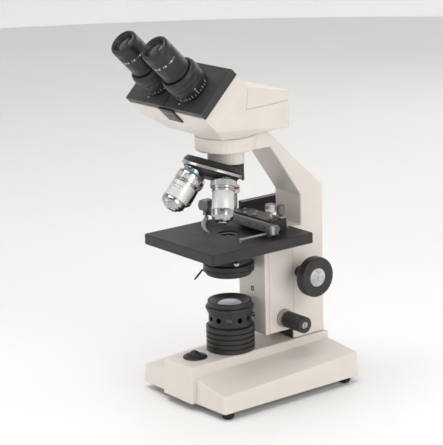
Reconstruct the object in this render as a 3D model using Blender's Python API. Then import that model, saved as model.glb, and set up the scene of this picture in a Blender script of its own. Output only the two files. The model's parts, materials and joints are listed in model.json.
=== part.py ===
"""Binocular compound microscope: stand, focus drives, stage, turret and sliding binocular head.

All sizes below are in millimetres; every mesh is scaled to metres when its object is made.
+X is the microscope's right, +Y its back (the arm's side), +Z up. The optical axis is the line
x = 0, y = 0 until the last step, which moves the whole object so that the middle of its
footprint stands on the origin.
"""

from math import atan2, cos, pi, radians, sin, tan

import bmesh
import bpy
from mathutils import Matrix, Vector

MM = 0.001
GAP = 0.3            # between pieces that touch on the real object
STEPS = 32           # sides of a large round piece
FINE_STEPS = 20      # sides of a small round piece
TINY_STEPS = 12

# ---- stand: base (heights are from the lower edge of the base's shell) ----
FOOT_HEIGHT = 7.0
FOOT_RADIUS = 6.0
FEET = {"front_right": (60.0, -51.5), "front_left": (-50.0, -42.0),
        "rear_right": (57.5, 99.8), "rear_left": (-57.5, 99.8)}
BASE_TOP = 37.5
SPINE_HALF = 22.4          # raised middle block of the base
SPINE_FRONT = -66.3
BASE_REAR = 109.4
WING_HALF = 66.2
WING_FRONT = -61.9
WING_SWEEP = 2.6           # how far the wing's outer front corner lies back
WING_INNER_FRONT_Z = 24.8
WING_INNER_REAR_Z = 29.8
WING_OUTER_FRONT_Z = 17.2
WING_OUTER_REAR_Z = 25.3
WING_CORNER = 2.4
BASE_DRAFT = 1.3
BASE_WALL = 3.0
BASE_PLATE_THICK = 1.5
PLATE_INSET = 2.4          # from the base's inner walls

# ---- stand: switch and power inlet ----
SWITCH_AT = (-1.5, -43.5)
SWITCH_BODY = 9.6
SWITCH_RIM = 12.0
SWITCH_LIFT = 2.6
SWITCH_SLOT = (6.6, 5.2)   # half length across and half width along Y
ROCKER_TILT = radians(8.0)
ROCKER_TOP = (2.6, 2.2, 7.0)   # half sizes of its ridge, and its height above the axis
INLET_HALF = 13.6
INLET_HEIGHT = 19.5
INLET_Z = 18.5

# ---- stand: arm, ring and neck ----
ARM_HALF = 20.0
ARM_REAR = 105.9
ARM_REAR_TOP = 191.6
ARM_THROAT = 76.9
ARM_LEDGE = (65.7, 154.2)   # y of the lower part's front, and the height where the throat begins
GUIDE_HALF = 17.6          # the guide rail stands in a pocket of the arm's front
ARM_THROAT_TOP = 185.9
ARM_CROWN_Y = 37.0
ARM_CROWN_Z = 256.1
ARM_CHIN_Y = 39.5
ARM_ROUND = 1.6
RING_RADIUS = 30.2
RING_BOTTOM = 241.9
CHIN_BOTTOM = 239.9
LIGHT_BORE = 11.0
NECK_RADIUS = 18.0
NECK_BOTTOM = 228.2
NECK_SLOPE = radians(4.0)
HUB_BOTTOM = 210.5

# ---- lamp ----
LAMP_RIB_RADIUS = 24.2
LAMP_GROOVE = 1.3
LAMP_RIBS = 5
LAMP_RIB_TOP = 63.5
LAMP_TUBE_RADIUS = 21.4
LAMP_TUBE_WALL = 1.8
LAMP_TUBE_TOP = 82.7
LAMP_HOLES = 12
LAMP_HOLE_RADIUS = 2.7
LAMP_HOLE_Z = 71.5
LAMP_HOLE_START = radians(-10.0)
LAMP_COLLAR_RADIUS = 24.2
LAMP_COLLAR_Z = (76.5, 84.2)
LAMP_CAP_RADIUS = 22.0
LAMP_CAP_TOP = 88.7
LAMP_LENS_RADIUS = 13.5
LAMP_LENS_Z = 84.6

# ---- focus drive ----
BLOCK_HALF = 21.0
BLOCK_FRONT = 28.8
BLOCK_REAR = 65.0
BLOCK_BOTTOM = 49.0
BLOCK_TOP = 141.5
FINE_PLATE_THICK = 5.2
GUIDE_FRONT = 65.4
DOVETAIL_X = (9.0, 14.5)
DOVETAIL_FLARE = 1.4
DOVETAIL_DEPTH = 5.0
RACK_HALF = 4.2
RACK_REAR = 66.2
COARSE_Y = 72.5
COARSE_Z = 107.2
COARSE_PINION = 6.0
COARSE_PINION_HALF = 5.0
COARSE_SHAFT = 4.0
COARSE_KNOB_RADIUS = 20.3
COARSE_KNOB_WIDTH = 10.5
COARSE_FACE_X = 51.0
COARSE_CAP_RADIUS = 9.6
FINE_Y = 51.8
FINE_Z = 62.8
FINE_SHAFT = 3.0
FINE_SCREW_HEAD = 3.6
FINE_NUT = 5.0
FINE_KNOB_RADIUS = 8.3
FINE_KNOB_FROM = 26.5
FINE_FACE_X = 54.5
FINE_FLANGE_RADIUS = 9.4

# ---- stage and condenser ----
STAGE_HALF = 55.8
STAGE_FRONT = -61.8
STAGE_REAR = 63.2
STAGE_TOP = 156.3
STAGE_THICK = 10.8
STAGE_APERTURE = 10.0
STAGE_BORE = 14.0
STAGE_ROUND = 1.2
CONDENSER_RADIUS = 25.3
CONDENSER_BOTTOM = 115.5
CONDENSER_LENS_RADIUS = 8.4
IRIS_Z = 118.2
IRIS_CAVITY = 14.5
IRIS_ANGLE = radians(-135.0)
IRIS_LEVER = 12.5
SCREW_Z = 132.1
SCREW_ANGLE = radians(-22.0)

# ---- attachable mechanical stage ----
RAIL_X = -35.0
RAIL_THICK = 4.0
RAIL_FRONT = 43.0
RAIL_REAR = 100.0
RAIL_TOP = 175.0
RAIL_LIFT = 0.5
CARRIAGE_LEFT = -32.0
CARRIAGE_RIGHT = 34.5
CARRIAGE_FRONT = 28.0
CARRIAGE_REAR = 47.0
CARRIAGE_TOP = 169.5
X_BAR_FRONT = 20.0
X_BAR_THICK = 5.0
X_BAR_LEFT = -72.6
X_BAR_END = -57.0          # right side of the taller block at its left end
X_BAR_RIGHT = 48.5
X_BAR_BOTTOM = 160.2
X_BAR_TOP = 168.6
X_BAR_END_Z = (163.6, 175.4)
X_KNOB_AT = (25.0, 34.2)
X_KNOB_Z = (176.4, 184.4)
X_KNOB_RADIUS = 5.3
X_PINION = 5.0
Y_KNOB_AT = (29.5, 43.5)
Y_KNOB_Z = (173.1, 182.5)
Y_KNOB_RADIUS = 3.9
Y_PINION = 3.2
RACK_Y = (33.0, 56.0)
FINGER_X = 38.5
FINGER_TIP_Y = -15.5
CLIP_PIVOT = (-57.5, 17.2)
CLIP_TIP = (-12.5, -14.8)
CLIP_RADIUS = 105.0
CLIP_THICK = 1.1

# ---- turret and objectives ----
TURRET_TILT = radians(21.5)
APEX_Z = 268.0             # where the axes of all objectives meet
DISC_RADIUS = 27.0
DISC_SKIRT_RADIUS = 29.5
DISC_FROM = 40.0           # distances along the turret's axis, from the apex
DISC_TO = 45.4
RING_TO = 49.2
TURRET_RING_RADIUS = 29.9
TURRET_RING_WIDTH = 3.2
DOME_TO = 54.0
SEAT = 58.0                # an objective's shoulder, along its own axis
PARFOCAL = 45.0
THREAD_RADIUS = 6.2
THREAD_LENGTH = 2.5

# ---- binocular head ----
HEAD_BOTTOM = 260.7
FLANGE_BOTTOM = ARM_CROWN_Z + GAP
EYE_TILT = radians(45.0)
SLAB_MIDDLE = (-49.5, 306.6)   # y, z of the middle of the housing's sloping face
SLAB_LENGTH = 52.8
SLAB_HALF = 60.0
CAP_DEPTH = 8.0
CAP_THICK = 2.2
BED_THICK = 1.4
FRONT_DEPTH = 19.4
REAR_HALF = 37.0
REAR_Y = 50.0
REAR_TOP_Z = 297.5
CHAMFER_TOP_Y = 28.3
CHAMFER_TOP_Z = 300.9
CHAMFER_FOOT_Y = -11.8
CHIN_Y = -36.3
CHIN_HALF = 43.0
COVER_FRONT_Y = -15.6          # the removable cover's front edge and its lower edge
COVER_FRONT_Z = 289.6
COVER_REAR_Z = 287.6
HEAD_WALL = 3.0
TAG_X = (-9.0, 12.5)
TAG_DEPTH = (-4.7, 14.0)
TAG_THICK = 1.4
PRISM_HALF = 9.0
EYE_SPACING = 49.5
EYE_DROP = 1.0                 # the tubes stand this far below the sloping face's middle
SLIDE_TRAVEL = 13.5
EYE_OUT = 61.5                 # rim above the plates, along the tube
EYE_RADIUS = 14.2
COLLAR_RADIUS = 18.0
COLLAR_TOP = 25.0
TUBE_RADIUS = 11.6
EYE_LENS_RADIUS = 8.6

PAINT = ("cream_paint", (0.74, 0.69, 0.62), 0.42, 0.0)
BLACK = ("black_plastic", (0.035, 0.033, 0.031), 0.5, 0.0)
BLACK_METAL = ("black_anodised", (0.04, 0.038, 0.037), 0.38, 0.4)
STAGE_COAT = ("stage_coating", (0.075, 0.07, 0.068), 0.55, 0.1)
GUNMETAL = ("gunmetal", (0.12, 0.11, 0.115), 0.35, 0.7)
CHROME = ("chrome", (0.82, 0.82, 0.83), 0.12, 1.0)
ALUMINIUM = ("aluminium", (0.62, 0.62, 0.63), 0.34, 1.0)
STEEL = ("steel", (0.5, 0.5, 0.5), 0.35, 1.0)
RUBBER = ("rubber", (0.03, 0.03, 0.03), 0.85, 0.0)
GLASS = ("lens_glass", (0.75, 0.7, 0.85), 0.05, 0.0)
CERAMIC = ("ceramic", (0.75, 0.72, 0.66), 0.6, 0.0)


# ---- shapes: each returns a closed bmesh in millimetres, in the object's own frame ----

def turned(profile, frame=Matrix.Identity(4), steps=STEPS):
    """Solid of revolution about Z. An open profile runs from the axis to the axis, a closed one is a ring."""
    bm = bmesh.new()
    rings = []
    for radius, height in profile:
        if radius == 0:
            rings.append([bm.verts.new((0, 0, height))])
            continue
        turn = [2 * pi * k / steps for k in range(steps)]
        rings.append([bm.verts.new((radius * cos(a), radius * sin(a), height)) for a in turn])
    pairs = list(zip(rings, rings[1:]))
    if profile[0][0] != 0:
        pairs.append((rings[-1], rings[0]))
    for lower, upper in pairs:
        for k in range(steps):
            corners = [lower[k % len(lower)], lower[(k + 1) % len(lower)],
                       upper[(k + 1) % len(upper)], upper[k % len(upper)]]
            distinct = list(dict.fromkeys(corners))
            bm.faces.new(distinct)
    bm.transform(frame)
    bmesh.ops.recalc_face_normals(bm, faces=bm.faces)
    return bm


def hull(points):
    bm = bmesh.new()
    verts = [bm.verts.new(p) for p in points]
    made = bmesh.ops.convex_hull(bm, input=verts)
    spare = {v for v in made["geom_interior"] + made["geom_unused"] if isinstance(v, bmesh.types.BMVert)}
    spare = [v for v in verts if v in spare]
    bmesh.ops.delete(bm, geom=spare, context="VERTS")
    bmesh.ops.dissolve_limit(bm, angle_limit=radians(0.5), verts=bm.verts, edges=bm.edges)
    bmesh.ops.recalc_face_normals(bm, faces=bm.faces)
    return bm


def box(x, y, z):
    """Box from its (low, high) pairs."""
    return hull([(a, b, c) for a in x for b in y for c in z])


def extruded(outline, low, high, along):
    """Outline pushed along an axis: (y, z) points along X, (x, z) along Y, (x, y) along Z."""
    place = {"X": lambda p, t: (t, p[0], p[1]), "Y": lambda p, t: (p[0], t, p[1]),
             "Z": lambda p, t: (p[0], p[1], t)}[along]
    bm = bmesh.new()
    ends = [[bm.verts.new(place(p, t)) for p in outline] for t in (low, high)]
    bm.faces.new(ends[0])
    bm.faces.new(ends[1])
    count = len(outline)
    for k in range(count):
        nxt = (k + 1) % count
        bm.faces.new((ends[0][k], ends[0][nxt], ends[1][nxt], ends[1][k]))
    bmesh.ops.recalc_face_normals(bm, faces=bm.faces)
    return bm


def bar(x, y, radius, z, steps=FINE_STEPS):
    """Upright round bar."""
    frame = Matrix.Translation((x, y, 0))
    return turned([(0, z[0]), (radius, z[0]), (radius, z[1]), (0, z[1])], frame, steps)


def cross_turned(y, z, profile, side=1, steps=FINE_STEPS):
    """Solid of revolution about a line along X: the profile's heights are distances from x = 0."""
    turn = Matrix.Rotation(side * pi / 2, 4, "Y")
    return turned(profile, Matrix.Translation((0, y, z)) @ turn, steps)


def cross_bar(y, z, radius, x):
    """Round bar along X."""
    return cross_turned(y, z, [(0, x[0]), (radius, x[0]), (radius, x[1]), (0, x[1])])


def rounded(bm, width, segments=2, sharper_than=radians(25)):
    edges = [e for e in bm.edges if len(e.link_faces) == 2 and e.calc_face_angle() > sharper_than]
    bmesh.ops.bevel(bm, geom=edges, offset=width, offset_type="OFFSET", segments=segments,
                    profile=0.5, affect="EDGES", clamp_overlap=True)
    bmesh.ops.recalc_face_normals(bm, faces=bm.faces)
    return bm


def combined(first, operation, *others):
    """Boolean of closed shapes with the exact solver."""
    result = first
    for other in others:
        pair = []
        for shape in (result, other):
            mesh = bpy.data.meshes.new("shape")
            shape.to_mesh(mesh)
            shape.free()
            thing = bpy.data.objects.new("shape", mesh)
            bpy.context.scene.collection.objects.link(thing)
            pair.append(thing)
        modifier = pair[0].modifiers.new("combine", "BOOLEAN")
        modifier.operation = operation
        modifier.solver = "EXACT"
        modifier.object = pair[1]
        graph = bpy.context.evaluated_depsgraph_get()
        graph.update()
        result = bmesh.new()
        result.from_mesh(pair[0].evaluated_get(graph).to_mesh())
        for thing in pair:
            mesh = thing.data
            bpy.data.objects.remove(thing)
            bpy.data.meshes.remove(mesh)
        bmesh.ops.remove_doubles(result, verts=result.verts, dist=0.0005)
    return result


def joined(first, *others):
    return combined(first, "UNION", *others)


def cut(first, *others):
    return combined(first, "DIFFERENCE", *others)


# ---- placing ----

pivots = {}


def body(name, pivot=(0, 0, 0), parent=None):
    """Empty on a joint's axis, which carries one rigid group of pieces."""
    empty = bpy.data.objects.new("body_" + name, None)
    empty.empty_display_size = 0.01
    bpy.context.scene.collection.objects.link(empty)
    pivots[empty.name] = Vector(pivot)
    if parent is not None:
        empty.parent = parent
    offset = Vector(pivot) - (pivots[parent.name] if parent is not None else Vector())
    empty.location = offset * MM
    return empty


def material_of(look):
    name, colour, roughness, metallic = look
    if name in bpy.data.materials:
        return bpy.data.materials[name]
    material = bpy.data.materials.new(name)
    material.use_nodes = True
    shader = material.node_tree.nodes["Principled BSDF"]
    shader.inputs["Base Color"].default_value = (*colour, 1.0)
    shader.inputs["Roughness"].default_value = roughness
    shader.inputs["Metallic"].default_value = metallic
    if look is GLASS:
        shader.inputs["Transmission Weight"].default_value = 0.9
    material.diffuse_color = (*colour, 1.0)
    return material


def piece(name, bm, look, carrier):
    """One node: the shape, moved from the object's frame to its carrier's, in metres."""
    bm.transform(Matrix.Translation(-pivots[carrier.name]))
    bm.transform(Matrix.Scale(MM, 4))
    bmesh.ops.triangulate(bm, faces=bm.faces)
    mesh = bpy.data.meshes.new(name)
    bm.to_mesh(mesh)
    bm.free()
    mesh.materials.append(material_of(look))
    thing = bpy.data.objects.new(name, mesh)
    bpy.context.scene.collection.objects.link(thing)
    thing.parent = carrier
    return thing


def line_frame(origin, direction):
    """Frame whose +Z runs along a direction and whose X stays level."""
    z = Vector(direction).normalized()
    x = Vector((1, 0, 0)) if abs(z.x) < 0.9 else Vector((0, 1, 0))
    y = z.cross(x).normalized()
    x = y.cross(z)
    turn = Matrix((x, y, z)).transposed().to_4x4()
    return Matrix.Translation(origin) @ turn


SIDES = (("right", 1), ("left", -1))
EYE_AXIS = Vector((0, -sin(EYE_TILT), cos(EYE_TILT)))
TURRET_AXIS = Vector((0, -sin(TURRET_TILT), -cos(TURRET_TILT)))
APEX = Vector((0, 0, APEX_Z))


# ---- base ----

def wing(side, grow, top_drop, floor):
    """One sloping wing, from the middle of the base to its outer edge, grown by a margin."""
    outer = WING_HALF + grow
    front = WING_FRONT - grow
    rear = BASE_REAR + grow
    corner = WING_CORNER
    plan = [(0, front), (outer - corner, front + WING_SWEEP * 0.9)]
    for k in range(1, 4):
        a = -pi / 2 + k * pi / 8
        plan.append((outer - corner + corner * cos(a), front + WING_SWEEP + corner + corner * sin(a)))
    plan += [(outer, rear - 1), (outer - 1, rear), (0, rear)]
    points = []
    for x, y in plan:
        back = (y - WING_FRONT) / (BASE_REAR - WING_FRONT)
        out = (x - SPINE_HALF) / (WING_HALF - SPINE_HALF)
        inner = WING_INNER_FRONT_Z + back * (WING_INNER_REAR_Z - WING_INNER_FRONT_Z)
        edge = WING_OUTER_FRONT_Z + back * (WING_OUTER_REAR_Z - WING_OUTER_FRONT_Z)
        z = inner + out * (edge - inner) - top_drop
        splay = BASE_DRAFT if x > SPINE_HALF else 0
        points.append((side * x, y, z))
        points.append((side * (x + splay), y + (BASE_DRAFT if y > 0 else -BASE_DRAFT), floor))
    return hull(points)


def spine(grow, top_drop, floor):
    """The raised middle block of the base, grown by a margin."""
    half, front, rear = SPINE_HALF + grow, SPINE_FRONT - grow, BASE_REAR + grow
    top = BASE_TOP - top_drop
    points = []
    for side in (-1, 1):
        points += [(side * half, front, top), (side * half, rear, top)]
        points += [(side * (half + BASE_DRAFT), front - BASE_DRAFT, floor)]
        points += [(side * (half + BASE_DRAFT), rear + BASE_DRAFT, floor)]
    return hull(points)


def build_base(stand):
    wings = [rounded(wing(sign, 0, 0, 0), 1.2) for side, sign in SIDES]
    shell = joined(rounded(spine(0, 0, 0), 1.6), *wings)
    hollow = joined(spine(-BASE_WALL, BASE_WALL, -0.5), wing(1, -BASE_WALL, BASE_WALL, -0.5),
                    wing(-1, -BASE_WALL, BASE_WALL, -0.5))
    shell = cut(shell, hollow)
    wire_way = bar(0, 0, 8, (BASE_TOP - 10, BASE_TOP + 5), TINY_STEPS)
    switch_hole = bar(*SWITCH_AT, SWITCH_BODY + GAP, (BASE_TOP - 10, BASE_TOP + 5), FINE_STEPS)
    socket_hole = box((-INLET_HALF - GAP, INLET_HALF + GAP), (BASE_REAR - 10, BASE_REAR + 5),
                      (INLET_Z - INLET_HEIGHT / 2 - GAP, INLET_Z + INLET_HEIGHT / 2 + GAP))
    piece("base", cut(shell, wire_way, switch_hole, socket_hole), PAINT, stand)

    inset = BASE_WALL + PLATE_INSET
    half, front, rear = WING_HALF - inset, WING_FRONT + inset + WING_SWEEP, BASE_REAR - inset
    plan = [(-half, front + 9), (-half + 9, front), (half - 9, front), (half, front + 9),
            (half, rear), (-half, rear)]
    piece("base_plate", extruded(plan, GAP, GAP + BASE_PLATE_THICK, "Z"), STEEL, stand)
    profile = [(0, -FOOT_HEIGHT), (FOOT_RADIUS * 0.62, -FOOT_HEIGHT), (FOOT_RADIUS * 0.9, -FOOT_HEIGHT + 1.2),
               (FOOT_RADIUS, -FOOT_HEIGHT + 2.6), (FOOT_RADIUS, 0), (0, 0)]
    for corner, (x, y) in FEET.items():
        piece(f"foot_{corner}", turned(profile, Matrix.Translation((x, y, 0)), FINE_STEPS), RUBBER, stand)


# ---- switch and power inlet ----

def build_switch(stand):
    x, y = SWITCH_AT
    frame = Matrix.Translation((x, y, 0))
    low, high = BASE_TOP + GAP, BASE_TOP + SWITCH_LIFT
    shape = turned([(0, BASE_TOP - 9), (SWITCH_BODY, BASE_TOP - 9), (SWITCH_BODY, low), (SWITCH_RIM, low),
                    (SWITCH_RIM, high - 1.0), (SWITCH_RIM - 1.2, high), (0, high)], frame, 24)
    across, along = SWITCH_SLOT
    slot = box((x - across - GAP, x + across + GAP), (y - along - GAP, y + along + GAP),
               (BASE_TOP - 5, BASE_TOP + 9))
    piece("switch_bezel", cut(shape, slot), BLACK, stand)
    rocker = body("rocker", (x, y, BASE_TOP), stand)
    top_across, top_along, top = ROCKER_TOP
    shape = hull([(sx * u, sy * v, z) for sx in (-1, 1) for sy in (-1, 1) for u, v, z in (
        (across, along - 0.9, -2.4), (across, along - 0.3, 1.4), (top_across + 2, top_along + 1.6, top - 1.6),
        (top_across, top_along, top))])
    shape.transform(Matrix.Translation((x, y, BASE_TOP)) @ Matrix.Rotation(ROCKER_TILT, 4, "X"))
    piece("switch_rocker", shape, BLACK, rocker)


def build_inlet(stand):
    rear = BASE_REAR + BASE_DRAFT
    low, high = INLET_Z - INLET_HEIGHT / 2, INLET_Z + INLET_HEIGHT / 2
    shroud = joined(box((-INLET_HALF, INLET_HALF), (rear - 9, rear + 1.2), (low, high)),
                    box((-INLET_HALF - 2, INLET_HALF + 2), (rear + GAP, rear + 1.8), (low - 2, high + 2)))
    pocket = box((-INLET_HALF + 2.4, INLET_HALF - 2.4), (rear - 7, rear + 5), (low + 2.4, high - 2.4))
    pins = [box((x - 0.9, x + 0.9), (rear - 8, rear - 3.8), (INLET_Z + dz - 2, INLET_Z + dz + 2))
            for x, dz in ((-6.5, -2), (0, 2), (6.5, -2))]
    piece("power_inlet", joined(cut(shroud, pocket), *pins), BLACK, stand)


# ---- arm, guide and neck ----

def dovetail(side, clearance):
    """(x, y) outline of one tail of the fixed guide, or of its groove when it has a clearance."""
    near, far = DOVETAIL_X
    tip = GUIDE_FRONT - DOVETAIL_DEPTH - clearance
    root = GUIDE_FRONT + 0.5 + 3 * clearance
    flare = DOVETAIL_FLARE * (root - tip) / DOVETAIL_DEPTH
    return [(side * (near - clearance * 1.1), root), (side * (near - clearance * 1.1 - flare), tip),
            (side * (far + clearance * 1.1 + flare), tip), (side * (far + clearance * 1.1), root)]


def build_arm(stand):
    low = BASE_TOP + GAP
    ledge_y, ledge_z = ARM_LEDGE
    outline = [(ledge_y, low), (ARM_REAR, low), (ARM_REAR, ARM_REAR_TOP), (ARM_CROWN_Y, ARM_CROWN_Z),
               (0, ARM_CROWN_Z), (0, RING_BOTTOM), (18, RING_BOTTOM), (20, CHIN_BOTTOM),
               (ARM_CHIN_Y, CHIN_BOTTOM), (ARM_THROAT, ARM_THROAT_TOP), (ARM_THROAT, ledge_z),
               (ledge_y, ledge_z)]
    column = rounded(extruded(outline, -ARM_HALF, ARM_HALF, "X"), ARM_ROUND)
    edge = 0.8
    ring = turned([(LIGHT_BORE, RING_BOTTOM), (RING_RADIUS - edge, RING_BOTTOM),
                   (RING_RADIUS, RING_BOTTOM + edge), (RING_RADIUS, ARM_CROWN_Z - edge),
                   (RING_RADIUS - edge, ARM_CROWN_Z), (LIGHT_BORE, ARM_CROWN_Z)])
    tilt = tan(NECK_SLOPE)
    neck = turned([(LIGHT_BORE - 2, NECK_BOTTOM - 12), (NECK_RADIUS, NECK_BOTTOM - 12),
                   (NECK_RADIUS, RING_BOTTOM + 2), (LIGHT_BORE - 2, RING_BOTTOM + 2)])
    reach = 40
    below = hull([(x, y, z) for x in (-reach, reach)
                  for y, z in ((-reach, NECK_BOTTOM + reach * tilt), (reach, NECK_BOTTOM - reach * tilt),
                               (-reach, NECK_BOTTOM - 40), (reach, NECK_BOTTOM - 40))])
    bore = bar(0, 0, LIGHT_BORE, (NECK_BOTTOM - 30, ARM_CROWN_Z + 5), STEPS)
    shaft_way = cross_bar(COARSE_Y, COARSE_Z, COARSE_SHAFT + GAP, (-30, 30))
    pinion_half = COARSE_PINION_HALF + GAP
    pinion_way = cross_bar(COARSE_Y, COARSE_Z, COARSE_PINION + 1, (-pinion_half, pinion_half))
    pocket = box((-GUIDE_HALF - GAP, GUIDE_HALF + GAP), (ledge_y - 5, ARM_THROAT),
                 (low - 5, BLOCK_TOP - 12 + GAP))
    rack_way = box((-RACK_HALF - GAP, RACK_HALF + GAP), (ledge_y - 5, RACK_REAR + GAP),
                   (low - 5, ledge_z - 4))
    near, far = DISC_FROM - GAP, DISC_FROM + 40
    disc_way = turned([(0, near), (60, near), (60, far), (0, far)], line_frame(APEX, TURRET_AXIS))
    shape = cut(joined(column, ring, cut(neck, below, disc_way)), bore, pocket, rack_way, shaft_way,
                pinion_way)
    piece("arm", shape, PAINT, stand)

    guide = box((-GUIDE_HALF, GUIDE_HALF), (GUIDE_FRONT, ARM_THROAT - GAP), (low, BLOCK_TOP - 12))
    tails = [extruded(dovetail(side, 0), low + 14, BLOCK_TOP - 14, "Z") for side in (-1, 1)]
    channel = box((-RACK_HALF - GAP, RACK_HALF + GAP), (GUIDE_FRONT - 5, RACK_REAR + GAP),
                  (low - 5, BLOCK_TOP))
    tunnel = cross_bar(COARSE_Y, COARSE_Z, COARSE_SHAFT + GAP, (-30, 30))
    window = box((-COARSE_PINION_HALF - GAP, COARSE_PINION_HALF + GAP),
                 (GUIDE_FRONT - 3, ARM_THROAT + 3),
                 (COARSE_Z - COARSE_PINION - 1, COARSE_Z + COARSE_PINION + 1))
    piece("guide_rail", cut(joined(guide, *tails), channel, tunnel, window), BLACK_METAL, stand)


# ---- lamp ----

def build_lamp(stand):
    low = BASE_TOP + GAP
    pitch = (LAMP_RIB_TOP - low) / LAMP_RIBS
    outer = []
    for k in range(LAMP_RIBS):
        start = low + k * pitch
        outer += [(LAMP_RIB_RADIUS, start + 0.1), (LAMP_RIB_RADIUS, start + pitch * 0.72)]
        if k < LAMP_RIBS - 1:
            outer += [(LAMP_RIB_RADIUS - LAMP_GROOVE, start + pitch * 0.86)]
    inner = LAMP_TUBE_RADIUS - LAMP_TUBE_WALL
    profile = [(inner, low)] + outer + [(LAMP_TUBE_RADIUS + 1.5, LAMP_RIB_TOP), (inner, LAMP_RIB_TOP)]
    piece("lamp_housing", turned(profile), BLACK, stand)

    low = LAMP_RIB_TOP + GAP
    tube = turned([(inner, low), (LAMP_TUBE_RADIUS, low), (LAMP_TUBE_RADIUS, LAMP_TUBE_TOP),
                   (inner, LAMP_TUBE_TOP)], steps=36)
    for k in range(LAMP_HOLES):
        angle = LAMP_HOLE_START + 2 * pi * k / LAMP_HOLES
        frame = line_frame((0, 0, LAMP_HOLE_Z), (cos(angle), sin(angle), 0))
        vent = turned([(0, inner - 4), (LAMP_HOLE_RADIUS, inner - 4), (LAMP_HOLE_RADIUS, inner + 6),
                       (0, inner + 6)], frame, 10)
        tube = cut(tube, vent)
    piece("lamp_tube", tube, BLACK, stand)

    low, high = LAMP_COLLAR_Z
    bore = LAMP_TUBE_RADIUS + GAP
    mouth = LAMP_CAP_RADIUS - 2.2
    bulge = LAMP_COLLAR_RADIUS - LAMP_TUBE_RADIUS
    profile = [(bore, low), (LAMP_TUBE_RADIUS + bulge * 0.55, low + 0.6), (LAMP_COLLAR_RADIUS, low + 2.4),
               (LAMP_COLLAR_RADIUS, high - 2.4), (LAMP_TUBE_RADIUS + bulge * 0.55, high - 0.5),
               (LAMP_CAP_RADIUS, high), (LAMP_CAP_RADIUS, LAMP_CAP_TOP - 0.8),
               (LAMP_CAP_RADIUS - 0.8, LAMP_CAP_TOP), (mouth, LAMP_CAP_TOP),
               (LAMP_LENS_RADIUS + 0.6, LAMP_LENS_Z + 0.9), (LAMP_LENS_RADIUS - 1, LAMP_LENS_Z + 0.9),
               (LAMP_LENS_RADIUS - 1, LAMP_LENS_Z + GAP), (LAMP_LENS_RADIUS + GAP, LAMP_LENS_Z + GAP),
               (LAMP_LENS_RADIUS + GAP, LAMP_TUBE_TOP + GAP), (bore, LAMP_TUBE_TOP + GAP)]
    piece("lamp_cap", turned(profile), BLACK, stand)

    dome = 3.0
    top = LAMP_LENS_Z
    profile = [(0, LAMP_TUBE_TOP - 2), (LAMP_LENS_RADIUS * 0.7, LAMP_TUBE_TOP - 2),
               (LAMP_LENS_RADIUS, LAMP_TUBE_TOP), (LAMP_LENS_RADIUS, top)]
    seat = LAMP_LENS_RADIUS - 1 - GAP
    profile += [(seat, top), (seat * 0.72, top + dome * 0.5), (seat * 0.38, top + dome * 0.88),
                (0, top + dome)]
    piece("collector_lens", turned(profile, steps=24), GLASS, stand)

    low = BASE_TOP + GAP
    profile = [(0, low), (11, low), (11, low + 3), (7.5, low + 5), (7.5, low + 17), (4.4, low + 17),
               (4.4, low + 12), (0, low + 12)]
    piece("lamp_socket", turned(profile, steps=TINY_STEPS), CERAMIC, stand)
    low += 12 + GAP
    profile = [(0, low), (3.8, low), (3.8, low + 7), (5.4, low + 12), (5.6, low + 16), (3.4, low + 20),
               (0, low + 21)]
    piece("bulb", turned(profile, steps=TINY_STEPS), GLASS, stand)


# ---- focus drive ----

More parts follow.
